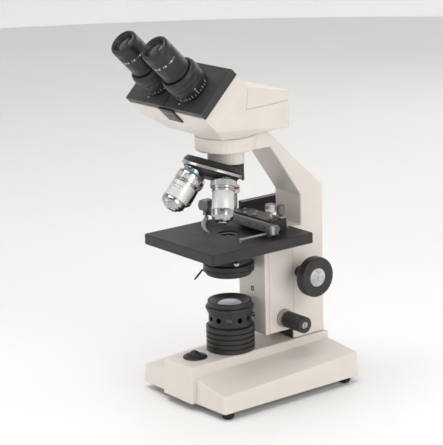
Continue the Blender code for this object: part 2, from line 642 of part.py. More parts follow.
def build_focus(stand):
    carriage = body("coarse_carriage", (0, COARSE_Y, COARSE_Z), stand)
    front = BLOCK_FRONT + FINE_PLATE_THICK + GAP
    block = rounded(box((-BLOCK_HALF, BLOCK_HALF), (front, BLOCK_REAR), (BLOCK_BOTTOM, BLOCK_TOP)), 1.0)
    grooves = [extruded(dovetail(side, GAP), BLOCK_BOTTOM - 5, BLOCK_TOP + 5, "Z") for side in (-1, 1)]
    rack = box((-RACK_HALF, RACK_HALF), (BLOCK_REAR - 2, RACK_REAR), (BLOCK_BOTTOM + 2, BLOCK_TOP - 2))
    fine_way = cross_bar(FINE_Y, FINE_Z, FINE_SHAFT + GAP, (-40, 40))
    screw_way = bar(0, FINE_Y, FINE_NUT + 1.2, (FINE_Z - 6, BLOCK_TOP + 5), TINY_STEPS)
    piece("focus_block", cut(joined(block, rack), *grooves, fine_way, screw_way), PAINT, carriage)

    coarse = body("coarse_drive", (0, COARSE_Y, COARSE_Z), stand)
    end = COARSE_FACE_X - COARSE_KNOB_WIDTH + 4
    half = [(COARSE_PINION, COARSE_PINION_HALF), (COARSE_SHAFT, COARSE_PINION_HALF), (COARSE_SHAFT, end),
            (0, end)]
    shaft = cross_turned(COARSE_Y, COARSE_Z, [(r, -x) for r, x in reversed(half)] + half)
    piece("coarse_shaft", shaft, STEEL, coarse)
    for side, sign in SIDES:
        back = COARSE_FACE_X - COARSE_KNOB_WIDTH
        radius = COARSE_KNOB_RADIUS
        bore = COARSE_SHAFT + GAP
        flange = 6.0
        cup = COARSE_CAP_RADIUS + GAP
        profile = [(bore, ARM_HALF + 1.6), (flange, ARM_HALF + 1.6), (flange, back), (radius - 2.5, back),
                   (radius - 0.5, back + 1.2), (radius, back + 2.4), (radius, COARSE_FACE_X - 4),
                   (radius - 0.8, COARSE_FACE_X - 2), (radius - 3, COARSE_FACE_X - 0.6),
                   (cup + 3, COARSE_FACE_X), (cup, COARSE_FACE_X - 0.6), (cup, COARSE_FACE_X - 3.4),
                   (0, COARSE_FACE_X - 3.4), (0, end + GAP), (bore, end + GAP)]
        piece(f"coarse_knob_{side}", knob_shape(COARSE_Y, COARSE_Z, profile, sign), BLACK, coarse)
        cap = [(0, COARSE_FACE_X - 3.1), (COARSE_CAP_RADIUS, COARSE_FACE_X - 3.1),
               (COARSE_CAP_RADIUS, COARSE_FACE_X - 0.9), (COARSE_CAP_RADIUS - 0.6, COARSE_FACE_X - 0.4),
               (1.6, COARSE_FACE_X - 0.4), (1.2, COARSE_FACE_X - 1.6), (0, COARSE_FACE_X - 1.6)]
        piece(f"coarse_cap_{side}", cross_turned(COARSE_Y, COARSE_Z, cap, sign, 24), ALUMINIUM, coarse)
    return carriage


def knob_shape(y, z, profile, side, steps=STEPS):
    """Knob about X: the profile starts and ends at the bore's mouth and touches the axis in between."""
    bm = bmesh.new()
    rings = []
    for radius, distance in profile:
        if radius == 0:
            rings.append([bm.verts.new((side * distance, y, z))])
            continue
        ring = []
        for k in range(steps):
            a = 2 * pi * k / steps
            ring.append(bm.verts.new((side * distance, y + radius * cos(a), z + radius * sin(a))))
        rings.append(ring)
    for lower, upper in zip(rings, rings[1:] + rings[:1]):
        if len(lower) == 1 and len(upper) == 1:
            continue
        for k in range(steps):
            corners = [lower[k % len(lower)], lower[(k + 1) % len(lower)],
                       upper[(k + 1) % len(upper)], upper[k % len(upper)]]
            bm.faces.new(list(dict.fromkeys(corners)))
    bmesh.ops.recalc_face_normals(bm, faces=bm.faces)
    return bm


def build_fine(carriage):
    drive = body("fine_drive", (0, FINE_Y, FINE_Z), carriage)
    head = FINE_SCREW_HEAD
    tip = FINE_FACE_X - 0.5
    half = [(FINE_SHAFT, tip - 2.2), (head, tip - 2.2), (head, tip), (0, tip)]
    shaft = cross_turned(FINE_Y, FINE_Z, [(r, -x) for r, x in reversed(half)] + half)
    slots = [box((x - 1.0, x + 1.0), (FINE_Y - 0.5, FINE_Y + 0.5), (FINE_Z - 5, FINE_Z + 5))
             for x in (-tip, tip)]
    piece("fine_shaft", cut(shaft, *slots), CHROME, drive)
    for side, sign in SIDES:
        start = BLOCK_HALF + 0.6
        bore = FINE_SHAFT + GAP
        cup = head + GAP
        radius = FINE_KNOB_RADIUS
        profile = [(bore, start), (FINE_FLANGE_RADIUS, start), (FINE_FLANGE_RADIUS, start + 2.0),
                   (bore + 2.0, start + 2.0), (bore + 2.0, FINE_KNOB_FROM), (radius - 0.8, FINE_KNOB_FROM),
                   (radius, FINE_KNOB_FROM + 0.8), (radius, FINE_FACE_X - 0.8), (radius - 0.8, FINE_FACE_X),
                   (cup, FINE_FACE_X), (cup, FINE_FACE_X - 3.0), (bore, FINE_FACE_X - 3.0)]
        piece(f"fine_knob_{side}", knob_shape(FINE_Y, FINE_Z, profile, sign, 24), BLACK, drive)

    slide = body("fine_slide", (0, FINE_Y, FINE_Z), carriage)
    under = STAGE_TOP - STAGE_THICK - GAP
    back = BLOCK_FRONT + FINE_PLATE_THICK
    plate = rounded(box((-BLOCK_HALF, BLOCK_HALF), (BLOCK_FRONT, back), (BLOCK_BOTTOM, under)), 0.8)
    shelf = box((-BLOCK_HALF + 1, BLOCK_HALF - 1), (BLOCK_FRONT + 1, BLOCK_REAR - 1),
                (BLOCK_TOP + 1.4, under))
    nut = bar(0, FINE_Y, FINE_NUT, (FINE_Z + FINE_SHAFT + 3.0, BLOCK_TOP + 3), TINY_STEPS)
    piece("fine_slide", joined(plate, shelf, nut), PAINT, slide)
    return slide


# ---- stage ----

def build_stage(slide):
    low = STAGE_TOP - STAGE_THICK
    plan = []
    corner = 2.5
    for sx, sy, turn in ((1, -1, 270), (1, 1, 0), (-1, 1, 90), (-1, -1, 180)):
        cx = sx * (STAGE_HALF - corner)
        cy = (STAGE_REAR if sy > 0 else STAGE_FRONT) - sy * corner
        for k in range(4):
            a = radians(turn + 30 * k)
            plan.append((cx + corner * cos(a), cy + corner * sin(a)))
    plate = rounded(extruded(plan, low, STAGE_TOP, "Z"), STAGE_ROUND, 2, radians(60))
    step = 2.0
    opening = turned([(0, low - 5), (STAGE_BORE, low - 5), (STAGE_BORE, STAGE_TOP - step),
                      (STAGE_APERTURE + 2.2, STAGE_TOP - step), (STAGE_APERTURE + 2.2, STAGE_TOP - step / 2),
                      (STAGE_APERTURE, STAGE_TOP - step / 2), (STAGE_APERTURE, STAGE_TOP + 5),
                      (0, STAGE_TOP + 5)])
    piece("stage", cut(plate, opening), STAGE_COAT, slide)

    top = low - GAP
    radius = CONDENSER_RADIUS
    inner = CONDENSER_LENS_RADIUS + GAP
    neck = STAGE_BORE - GAP
    foot = CONDENSER_BOTTOM
    profile = [(IRIS_CAVITY, foot), (radius - 3.2, foot), (radius - 2.4, foot + 0.8),
               (radius - 2.4, foot + 3.2), (radius, foot + 3.2), (radius, foot + 11.8),
               (radius - 3.0, foot + 12.8), (radius - 3.0, top), (neck, top), (neck, STAGE_TOP - 2.6),
               (inner, STAGE_TOP - 2.6), (inner, STAGE_TOP - 9), (inner - 1.2, STAGE_TOP - 9),
               (inner - 1.2, foot + 13), (IRIS_CAVITY, foot + 9)]
    shell = turned(profile)
    slot = hull([(r * cos(a), r * sin(a), z) for r in (12, radius + 6)
                 for a in [IRIS_ANGLE + radians(d) for d in (-38, -19, 0, 19, 38)]
                 for z in (IRIS_Z - 1.1, IRIS_Z + 1.1)])
    screw_frame = line_frame((0, 0, SCREW_Z), (cos(SCREW_ANGLE), sin(SCREW_ANGLE), 0))
    tapped = turned([(0, radius - 12), (1.5 + GAP, radius - 12), (1.5 + GAP, radius + 5), (0, radius + 5)],
                    screw_frame, TINY_STEPS)
    piece("condenser", cut(shell, slot, tapped), BLACK_METAL, slide)

    z0, z1 = STAGE_TOP - 9 + GAP, STAGE_TOP - 2.9
    lens = CONDENSER_LENS_RADIUS
    piece("condenser_lens", turned([(0, z0), (lens, z0), (lens, z1 - 3), (lens * 0.8, z1 - 1.4),
                                    (lens * 0.45, z1 - 0.4), (0, z1)], steps=24), GLASS, slide)

    lever = body("iris_lever", (0, 0, IRIS_Z), slide)
    frame = Matrix.Rotation(IRIS_ANGLE, 4, "Z")
    strip = box((11.8, radius + 1.6), (-1.3, 1.3), (IRIS_Z - 0.7, IRIS_Z + 0.7))
    low, high = IRIS_Z - 0.7, IRIS_Z + 0.7
    ring = turned([(11.4, low), (12.8, low), (12.8, high), (11.4, high)], steps=24)
    grip = line_frame((radius + 1.2, 0, IRIS_Z), (0.62, 0, -0.78))
    handle = turned([(0, -0.5), (0.9, -0.5), (1.0, IRIS_LEVER - 3), (0.8, IRIS_LEVER), (0, IRIS_LEVER + 0.5)],
                    grip, 8)
    strip.transform(frame)
    handle.transform(frame)
    piece("iris_lever", joined(ring, strip, handle), BLACK_METAL, lever)

    ball = 2.9
    profile = [(0, radius - 8), (1.5, radius - 8), (1.5, radius + 0.4), (ball * 0.75, radius + 0.8),
               (ball, radius + 2.4), (ball, radius + 3.6), (ball * 0.75, radius + 5.2), (0, radius + 5.8)]
    piece("condenser_screw", turned(profile, screw_frame, TINY_STEPS), CHROME, slide)


# ---- mechanical stage ----

def build_mechanical_stage(slide):
    floor = STAGE_TOP + GAP
    low = floor + RAIL_LIFT
    thin = RAIL_THICK / 2
    rail = box((RAIL_X - thin, RAIL_X + thin), (RAIL_FRONT, RAIL_REAR), (low, RAIL_TOP))
    foot = box((RAIL_X - 13, RAIL_X), (RAIL_FRONT + 1, STAGE_REAR - 1), (floor, floor + 3))
    lip = box((RAIL_X, RAIL_X + thin + 1.2), (RAIL_FRONT, RAIL_REAR), (RAIL_TOP - 2.4, RAIL_TOP))
    piece("stage_rail", joined(rail, foot, lip), GUNMETAL, slide)

    rack_x = Y_KNOB_AT[0] - Y_PINION - GAP - 3
    piece("stage_rack", box((rack_x, rack_x + 3), RACK_Y, (floor, floor + 2.6)), STEEL, slide)

    carriage = body("mechanical_carriage", (0, CARRIAGE_REAR, CARRIAGE_TOP), slide)
    bottom = floor + GAP
    right = CARRIAGE_RIGHT
    near = X_BAR_FRONT + X_BAR_THICK + GAP
    frame = box((CARRIAGE_LEFT, right), (CARRIAGE_FRONT, CARRIAGE_REAR), (bottom, CARRIAGE_TOP))
    frame = rounded(frame, 0.6, 1)
    channel = box((rack_x - GAP, Y_KNOB_AT[0] + Y_PINION + 0.5), (CARRIAGE_FRONT - 5, CARRIAGE_REAR + 5),
                  (bottom - 5, floor + 2.6 + GAP))
    relief = box((CARRIAGE_LEFT - 5, X_KNOB_AT[0] - 12), (CARRIAGE_FRONT - 5, CARRIAGE_REAR - 7),
                 (bottom - 5, CARRIAGE_TOP - 3))
    guide = box((CARRIAGE_LEFT, right), (near + 1.6, CARRIAGE_FRONT + 1), (CARRIAGE_TOP - 3, CARRIAGE_TOP))
    key = box((CARRIAGE_LEFT + 2, right - 2), (near + 0.6, CARRIAGE_FRONT + 1),
              (bottom + 0.5, X_BAR_BOTTOM - 0.6))
    gear_z = (X_BAR_BOTTOM + 1.2, CARRIAGE_TOP - 2.2)
    holes = [bar(*X_KNOB_AT, 1.8 + GAP, (gear_z[0], CARRIAGE_TOP + 5), TINY_STEPS),
             bar(*Y_KNOB_AT, 1.8 + GAP, (bottom - 5, CARRIAGE_TOP + 5), TINY_STEPS)]
    swing = X_PINION + 0.5
    pocket = joined(bar(*X_KNOB_AT, swing, gear_z, FINE_STEPS),
                    box((X_KNOB_AT[0] - swing, X_KNOB_AT[0] + swing), (CARRIAGE_FRONT - 9, X_KNOB_AT[1]),
                        gear_z))
    rack_way = box((CARRIAGE_LEFT - 5, right + 5), (CARRIAGE_FRONT - 5, X_KNOB_AT[1] - X_PINION),
                   (gear_z[0] + 0.4, gear_z[1] - 1.0))
    shape = cut(joined(frame, guide, key), channel, relief, pocket, rack_way, *holes)
    piece("stage_carriage", shape, BLACK_METAL, carriage)

    x_gear = (gear_z[0] + GAP, gear_z[1] - GAP)
    y_gear = (floor + GAP, floor + 2.4)
    for name, at, radius, span, teeth, gear, look in (
            ("x_knob", X_KNOB_AT, X_KNOB_RADIUS, X_KNOB_Z, X_PINION, x_gear, ALUMINIUM),
            ("y_knob", Y_KNOB_AT, Y_KNOB_RADIUS, Y_KNOB_Z, Y_PINION, y_gear, GUNMETAL)):
        knob = body(name, (*at, CARRIAGE_TOP), carriage)
        low, high = span
        profile = [(0, gear[0]), (teeth, gear[0]), (teeth, gear[1]), (1.8, gear[1]), (1.8, low),
                   (radius * 0.8, low), (radius, low + 1), (radius, high - 1.4), (radius - 0.7, high),
                   (0, high)]
        piece(name, turned(profile, Matrix.Translation((*at, 0)), FINE_STEPS), look, knob)

    slider = body("x_slide", (0, X_BAR_FRONT, X_BAR_TOP), carriage)
    back = X_BAR_FRONT + X_BAR_THICK
    rail = box((X_BAR_END - 4, X_BAR_RIGHT), (X_BAR_FRONT, back), (X_BAR_BOTTOM, X_BAR_TOP))
    block_low, block_high = X_BAR_END_Z
    outline = [(X_BAR_END, block_low), (X_BAR_END, block_high), (X_BAR_LEFT + 7, block_high),
               (X_BAR_LEFT + 2, block_high - 2.2), (X_BAR_LEFT, block_high - 6), (X_BAR_LEFT, block_low + 3),
               (X_BAR_LEFT + 2, block_low)]
    end = extruded(outline, X_BAR_FRONT - 1.5, back + 1.5, "Y")
    reach = X_KNOB_AT[1] - X_PINION - GAP
    rack = box((X_BAR_END + 12, X_BAR_RIGHT - 3), (back - 1, reach), (gear_z[0] + 0.8, gear_z[1] - 1.4))
    strut = box((CLIP_PIVOT[0] - 2.2, CLIP_PIVOT[0] + 2.2), (CLIP_PIVOT[1] - 2.4, X_BAR_FRONT + 2),
                (X_BAR_BOTTOM + 0.6, block_low + 2))
    pin_hole = bar(*CLIP_PIVOT, 1.3 + GAP, (X_BAR_BOTTOM - 5, X_BAR_BOTTOM + 9), TINY_STEPS)
    piece("x_bar", cut(joined(rail, end, rack, strut), pin_hole), GUNMETAL, slider)

    lift = STAGE_TOP + 0.5
    bracket = box((X_BAR_RIGHT - 12, X_BAR_RIGHT - 1), (X_BAR_FRONT - 3.5, X_BAR_FRONT - GAP),
                  (lift, X_BAR_TOP - 1))
    rod = box((FINGER_X - 1.3, FINGER_X + 1.3), (FINGER_TIP_Y, X_BAR_FRONT - 2), (lift, lift + 2.8))
    toe = box((FINGER_X - 1.3, FINGER_X + 3.2), (FINGER_TIP_Y, FINGER_TIP_Y + 3), (lift, lift + 3.6))
    piece("fixed_finger", joined(bracket, rod, toe), GUNMETAL, slider)

    clip = body("slide_clip", (*CLIP_PIVOT, X_BAR_BOTTOM), slider)
    pivot, tip = Vector(CLIP_PIVOT), Vector(CLIP_TIP)
    chord = tip - pivot
    rise = (CLIP_RADIUS ** 2 - (chord.length / 2) ** 2) ** 0.5
    centre = (pivot + tip) / 2 + Vector((-chord.y, chord.x)).normalized() * rise
    start = atan2(pivot.y - centre.y, pivot.x - centre.x)
    finish = atan2(tip.y - centre.y, tip.x - centre.x) % (2 * pi)
    span = [start % (2 * pi) + (finish - start % (2 * pi)) * k / 12 for k in range(13)]
    wide = [2.6 - 1.8 * (k / 12) ** 2 for k in range(13)]
    edge = [(centre.x + (CLIP_RADIUS + w) * cos(a), centre.y + (CLIP_RADIUS + w) * sin(a))
            for a, w in zip(span, wide)]
    edge += [(centre.x + (CLIP_RADIUS - w) * cos(a), centre.y + (CLIP_RADIUS - w) * sin(a))
             for a, w in reversed(list(zip(span, wide)))]
    low = STAGE_TOP + GAP
    crescent = extruded(edge, low, low + CLIP_THICK, "Z")
    hub = bar(*CLIP_PIVOT, 2.3, (low, X_BAR_BOTTOM + 0.3), FINE_STEPS)
    pin = bar(*CLIP_PIVOT, 1.3, (lift + 1, X_BAR_BOTTOM + 5.4), TINY_STEPS)
    piece("slide_clip", joined(crescent, hub, pin), GUNMETAL, clip)


# ---- turret ----

def build_turret(stand):
    down = line_frame(APEX, TURRET_AXIS)
    radius = DISC_RADIUS
    bore = 5.0 + GAP
    edge = 0.8
    skirt = DISC_SKIRT_RADIUS
    disc = turned([(bore, DISC_FROM), (radius - edge, DISC_FROM), (radius, DISC_FROM + edge),
                   (skirt, DISC_TO - edge), (skirt - edge, DISC_TO), (bore, DISC_TO)], down)
    top = NECK_BOTTOM - GAP
    hub = bar(0, 0, NECK_RADIUS - 0.5, (HUB_BOTTOM, top + 3.5), STEPS)
    reach = 60
    tilt = tan(NECK_SLOPE)
    above = hull([(x, y, z) for x in (-reach, reach)
                  for y, z in ((-reach, top + reach * tilt), (reach, top - reach * tilt),
                               (-reach, top + 60), (reach, top + 60))])
    swing = TURRET_RING_RADIUS + 0.7
    sweep = turned([(0, DISC_TO), (swing, DISC_TO), (swing, RING_TO + 0.2), (swing + 1.0, RING_TO + 0.2),
                    (swing + 6.4, DOME_TO + 1.5), (swing + 6.4, DOME_TO + 30), (0, DOME_TO + 30)], down)
    hub = cut(hub, above, sweep)
    light = bar(0, 0, 9.0, (APEX_Z - 80, APEX_Z), FINE_STEPS)
    axle_way = turned([(0, DISC_FROM - 30), (bore, DISC_FROM - 30), (bore, DISC_TO + 30), (0, DISC_TO + 30)],
                      down, FINE_STEPS)
    piece("nosepiece_disc", cut(joined(disc, hub), light, axle_way), BLACK_METAL, stand)

    turret = body("turret", APEX, stand)
    ring_low, ring_high = DISC_TO + GAP, RING_TO
    outer = TURRET_RING_RADIUS
    inner = outer - TURRET_RING_WIDTH
    profile = [(inner, ring_low), (outer - edge, ring_low), (outer, ring_low + edge),
               (outer, ring_high - edge), (outer - edge, ring_high), (inner, ring_high)]
    piece("turret_ring", turned(profile, down), CHROME, turret)
    axle, axle_from = bore - GAP, DISC_FROM + 1.2
    dome = turned([(0, axle_from), (axle, axle_from), (axle, ring_low), (inner - GAP, ring_low),
                   (inner - GAP, ring_high + GAP), (outer - 1.6, ring_high + GAP),
                   (outer - 3.4, DOME_TO - 1.5), (outer - 7.6, DOME_TO + 1.8), (10, DOME_TO + 4.6),
                   (0, DOME_TO + 4.6)], down)
    ports = []
    for quarter in range(4):
        frame = objective_frame(quarter)
        for wide, low, high in ((THREAD_RADIUS + GAP, SEAT - 22, SEAT + 8),
                                (THREAD_RADIUS + 4.6, SEAT - GAP, SEAT + 12)):
            ports.append(turned([(0, low), (wide, low), (wide, high), (0, high)], frame, FINE_STEPS))
    piece("turret", cut(dome, *ports), BLACK_METAL, turret)

    for quarter, (name, outline) in enumerate((
            ("objective_4x", [(10.4, 0), (10.4, 5.6), (12.6, 6.4), (12.6, 12), (10.2, 13.4), (10.2, 27),
                              (8.6, 29)]),
            ("objective_100x", [(7.4, 0), (7.4, 1.2), (10.4, 1.4), (12.5, 2.8), (12.5, 9), (11.2, 9.2),
                                (11.2, 13), (10.7, 13.2), (10.7, 38.5), (8.2, 40.6), (4.2, 44.6)]),
            ("objective_40x", [(9.6, 0), (9.6, 3.0), (10.6, 4.6), (12.2, 5.6), (12.2, 16), (11.9, 16.4),
                               (12.1, 38.6), (10.4, 41.0), (6.4, 43.6), (4.4, 44.3)]),
            ("objective_10x", [(10.4, 0), (10.4, 5.6), (12.4, 6.4), (12.4, 15), (10.9, 16), (10.9, 34),
                               (8.0, 37.4)]))):
        tip_radius, tip = outline[-1]
        bore = 4.4 if tip_radius > 6 else 1.8
        inside = THREAD_RADIUS - 2.0
        profile = [(inside, SEAT - THREAD_LENGTH), (THREAD_RADIUS, SEAT - THREAD_LENGTH),
                   (THREAD_RADIUS, SEAT)]
        profile += [(r, SEAT + h) for r, h in outline]
        profile += [(bore, SEAT + tip), (bore, SEAT + tip - 1.2), (inside, SEAT + 6)]
        piece(name, turned(profile, objective_frame(quarter), 28), CHROME, turret)


def objective_frame(quarter):
    """Frame on an objective's axis: quarter 0 stands in the light path, 1 comes round to the right."""
    spin = Matrix.Rotation(quarter * pi / 2, 3, TURRET_AXIS)
    return line_frame(APEX, spin @ Vector((0, 0, -1)))


# ---- head ----

def slope_point(along, depth):
    """(y, z) at a distance up the sloping face and behind it."""
    y, z = SLAB_MIDDLE
    up, back = cos(EYE_TILT), sin(EYE_TILT)
    return (y + along * up + depth * back, z + along * back - depth * up)


def sloped(outline, low, high):
    """Outline of (x, depth behind the sloping face) points, pushed up the slope from low to high."""
    up = (0, cos(EYE_TILT), sin(EYE_TILT))
    behind = (0, sin(EYE_TILT), -cos(EYE_TILT))
    turn = Matrix(((1, 0, 0), behind, up)).transposed().to_4x4()
    bm = extruded(outline, low, high, "Z")
    bm.transform(Matrix.Translation((0, *SLAB_MIDDLE)) @ turn)
    return bm


def head_hulls(inset):
    """The housing as two convex blocks: the wide front and the narrow rear."""
    top = SLAB_LENGTH / 2 - inset
    half = SLAB_HALF - CAP_THICK - GAP - inset
    low = -top
    first = slope_point(low, inset)
    second = slope_point(top, inset)
    third = slope_point(top, FRONT_DEPTH + inset * 0.4)
    fourth = slope_point(low, FRONT_DEPTH)
    floor = HEAD_BOTTOM + inset
    chin = (CHIN_Y + inset * 0.6, floor)
    front = [(s * half, *p) for s in (-1, 1) for p in (first, second, third, fourth)]
    front += [(s * (CHIN_HALF - inset), *chin) for s in (-1, 1)]
    rear = [(s * half, *p) for s in (-1, 1) for p in (third, fourth)]
    rear += [(s * (CHIN_HALF - inset), *chin) for s in (-1, 1)]
    narrow = REAR_HALF - inset
    rear += [(s * narrow, *p) for s in (-1, 1) for p in (
        (CHAMFER_FOOT_Y, floor), (CHAMFER_TOP_Y, CHAMFER_TOP_Z - inset), (REAR_Y - inset, REAR_TOP_Z - inset),
        (REAR_Y - inset, floor))]
    return hull(front), hull(rear)


def build_head(stand):
    swivel = body("head", (0, 0, ARM_CROWN_Z), stand)
    front, rear = head_hulls(0)
    shell = rounded(joined(front, rear), 0.9, 2, radians(20))
    cover_source = shell.copy()
    inside = joined(*head_hulls(HEAD_WALL))
    reach = 90
    slope = (COVER_REAR_Z - COVER_FRONT_Z) / (REAR_Y - COVER_FRONT_Y)
    lid, lid_cut = [hull([(x, y, z) for x in (-reach, reach) for y, z in (
        (COVER_FRONT_Y - g, COVER_FRONT_Z - g), (COVER_FRONT_Y - g, COVER_FRONT_Z + reach),
        (REAR_Y + 20, COVER_REAR_Z + 20 * slope - g), (REAR_Y + 20, COVER_REAR_Z + reach))])
        for g in (0, GAP)]
    inside_cover = inside.copy()
    low, high = FLANGE_BOTTOM, HEAD_BOTTOM + 2
    radius = RING_RADIUS
    flange = turned([(0, low), (radius - 0.8, low), (radius, low + 0.8), (radius, high), (0, high)])
    light = bar(0, 0, LIGHT_BORE, (FLANGE_BOTTOM - 5, HEAD_BOTTOM + 8), FINE_STEPS)
    eyes = [eye_window(sign, TUBE_RADIUS + 1.5, -6, HEAD_WALL + 4) for side, sign in SIDES]
    shell = joined(cut(shell, inside), flange)
    piece("head_body", cut(shell, lid_cut, light, *eyes), PAINT, swivel)
    lid_shape = combined(cover_source, "INTERSECT", lid)
    piece("head_cover", cut(lid_shape, inside_cover), PAINT, swivel)

    top = SLAB_LENGTH / 2
    bed = hull([(x, *slope_point(t, d)) for x in (-SLAB_HALF + 5, SLAB_HALF - 5)
                for t in (-top + 1.5, top - 1.5) for d in (-GAP - BED_THICK, -GAP)])
    holes = [eye_window(sign, TUBE_RADIUS + 0.8, -6, 4) for side, sign in SIDES]
    piece("head_bed", cut(bed, *holes), BLACK_METAL, swivel)

    tag = hull([(x, *slope_point(t, d)) for x in TAG_X
                for t in (-top - GAP - TAG_THICK, -top - GAP) for d in TAG_DEPTH])
    piece("spacing_scale", tag, BLACK_METAL, swivel)

    half = PRISM_HALF
    floor = HEAD_BOTTOM + 7
    piece("beam_splitter", box((-half, half), (-half, half), (floor, floor + 2 * half)), GLASS, swivel)
    return swivel


def eye_window(sign, radius, low, high):
    """Cutter for the slot that one eye tube slides along, between two depths behind the sloping face."""
    ends = (EYE_SPACING / 2 - radius, EYE_SPACING / 2 + SLIDE_TRAVEL + radius)
    return hull([(sign * x, *slope_point(t - EYE_DROP, d)) for x in ends for t in (-radius, radius)
                 for d in (low, high)])


def eye_frame(sign):
    origin = (sign * EYE_SPACING / 2, *slope_point(-EYE_DROP, -CAP_DEPTH))
    return line_frame(origin, EYE_AXIS)


def build_eyes(swivel):
    top = SLAB_LENGTH / 2
    for side, sign in SIDES:
        frame = eye_frame(sign)
        origin = frame.translation
        slide = body(f"slide_{side}", origin, swivel)
        under = -GAP - BED_THICK - GAP
        seam = 0.25
        edge = SLAB_HALF - CAP_THICK
        outline = [(sign * x, d) for x, d in ((seam, -CAP_DEPTH), (SLAB_HALF, -CAP_DEPTH), (SLAB_HALF, 0),
                                              (edge, 0), (edge, under), (seam, under))]
        plate = sloped(outline, -top, top)
        hole = turned([(0, -20), (TUBE_RADIUS + GAP, -20), (TUBE_RADIUS + GAP, 20), (0, 20)], frame)
        piece(f"slide_{side}", cut(plate, hole), BLACK_METAL, slide)

        dial = body(f"dioptre_{side}", origin, slide)
        bore = TUBE_RADIUS + GAP
        wide = EYE_RADIUS + GAP
        thin, thick = COLLAR_RADIUS - 0.4, COLLAR_RADIUS + 0.4
        profile = [(bore, GAP), (thin - 1, GAP), (thin, 1.2), (thin, 13), (thick, 14.6), (thick, 21.4),
                   (COLLAR_RADIUS - 0.8, COLLAR_TOP), (wide + 1, COLLAR_TOP), (wide, COLLAR_TOP - 1),
                   (wide, COLLAR_TOP - 6), (bore, COLLAR_TOP - 6)]
        piece(f"dioptre_{side}", turned(profile, frame), BLACK, dial)

        tube = body(f"eyepiece_{side}", origin, slide)
        low = -6
        inner = TUBE_RADIUS - 1.4
        barrel = EYE_RADIUS
        rim = EYE_OUT
        lens = EYE_LENS_RADIUS
        profile = [(inner, low), (TUBE_RADIUS, low), (TUBE_RADIUS, COLLAR_TOP - 1.5),
                   (barrel - 0.6, COLLAR_TOP - 1.2), (barrel, COLLAR_TOP - 0.4), (barrel, rim - 2.2),
                   (barrel - 1.4, rim - 0.3), (barrel - 2.2, rim), (barrel - 3.2, rim - 0.4),
                   (lens + GAP, rim - 4.5), (lens + GAP, rim - 10), (lens - 1.2, rim - 10),
                   (lens - 1.2, rim - 12), (inner, rim - 14)]
        piece(f"eyepiece_{side}", turned(profile, frame), BLACK, tube)
        profile = [(0, rim - 9.6), (lens, rim - 9.6), (lens, rim - 5.4), (lens * 0.75, rim - 3.9),
                   (lens * 0.4, rim - 3.1), (0, rim - 2.8)]
        piece(f"eye_lens_{side}", turned(profile, frame, 24), GLASS, tube)


def stand_on_origin(stand):
    """Moves the whole object so that the middle of its bounding box stands on the origin."""
    bpy.context.view_layer.update()
    corners = []
    for thing in bpy.context.scene.objects:
        if thing.type == "MESH":
            corners += [thing.matrix_world @ v.co for v in thing.data.vertices]
    for axis in range(2):
        values = [c[axis] for c in corners]
        stand.location[axis] -= (min(values) + max(values)) / 2
    stand.location[2] -= min(c.z for c in corners)
    bpy.context.view_layer.update()


def main():
    for thing in list(bpy.data.objects):
        bpy.data.objects.remove(thing)
    stand = body("stand")
    build_base(stand)
    build_switch(stand)
    build_inlet(stand)
    build_arm(stand)
    build_lamp(stand)
    carriage = build_focus(stand)
    slide = build_fine(carriage)
    build_stage(slide)
    build_mechanical_stage(slide)
    build_turret(stand)
    swivel = build_head(stand)
    build_eyes(swivel)
    stand_on_origin(stand)


main()
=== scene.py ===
import json
from math import atan2, cos, pi, radians, sin

import bmesh
import bpy
from mathutils import Matrix, Vector


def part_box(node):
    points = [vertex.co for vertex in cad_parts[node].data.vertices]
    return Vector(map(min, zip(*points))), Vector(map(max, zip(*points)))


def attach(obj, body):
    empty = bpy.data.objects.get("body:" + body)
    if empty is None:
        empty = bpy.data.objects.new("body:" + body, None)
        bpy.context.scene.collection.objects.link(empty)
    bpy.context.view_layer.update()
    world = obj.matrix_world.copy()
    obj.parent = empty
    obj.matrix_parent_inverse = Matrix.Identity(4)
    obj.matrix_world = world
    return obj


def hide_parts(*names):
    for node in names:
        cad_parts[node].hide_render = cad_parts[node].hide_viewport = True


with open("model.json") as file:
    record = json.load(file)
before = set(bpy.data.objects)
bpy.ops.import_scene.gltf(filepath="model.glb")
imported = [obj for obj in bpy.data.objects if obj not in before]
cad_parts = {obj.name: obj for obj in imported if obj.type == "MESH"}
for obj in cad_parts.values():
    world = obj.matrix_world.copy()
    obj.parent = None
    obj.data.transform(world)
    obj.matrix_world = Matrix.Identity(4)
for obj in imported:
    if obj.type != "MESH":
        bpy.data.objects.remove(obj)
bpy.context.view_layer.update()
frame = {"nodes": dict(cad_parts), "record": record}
NODES = frame["nodes"]
MM = 0.001

# The object's own frame: millimetres, x = 0 in its middle plane, z = 0 at the lower edge of the base.
stage_low, stage_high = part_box("stage")
OFFSET = Vector(((stage_low.x + stage_high.x) / 2, stage_high.y - 0.0632, stage_high.z - 0.1563))


# ---- materials ----

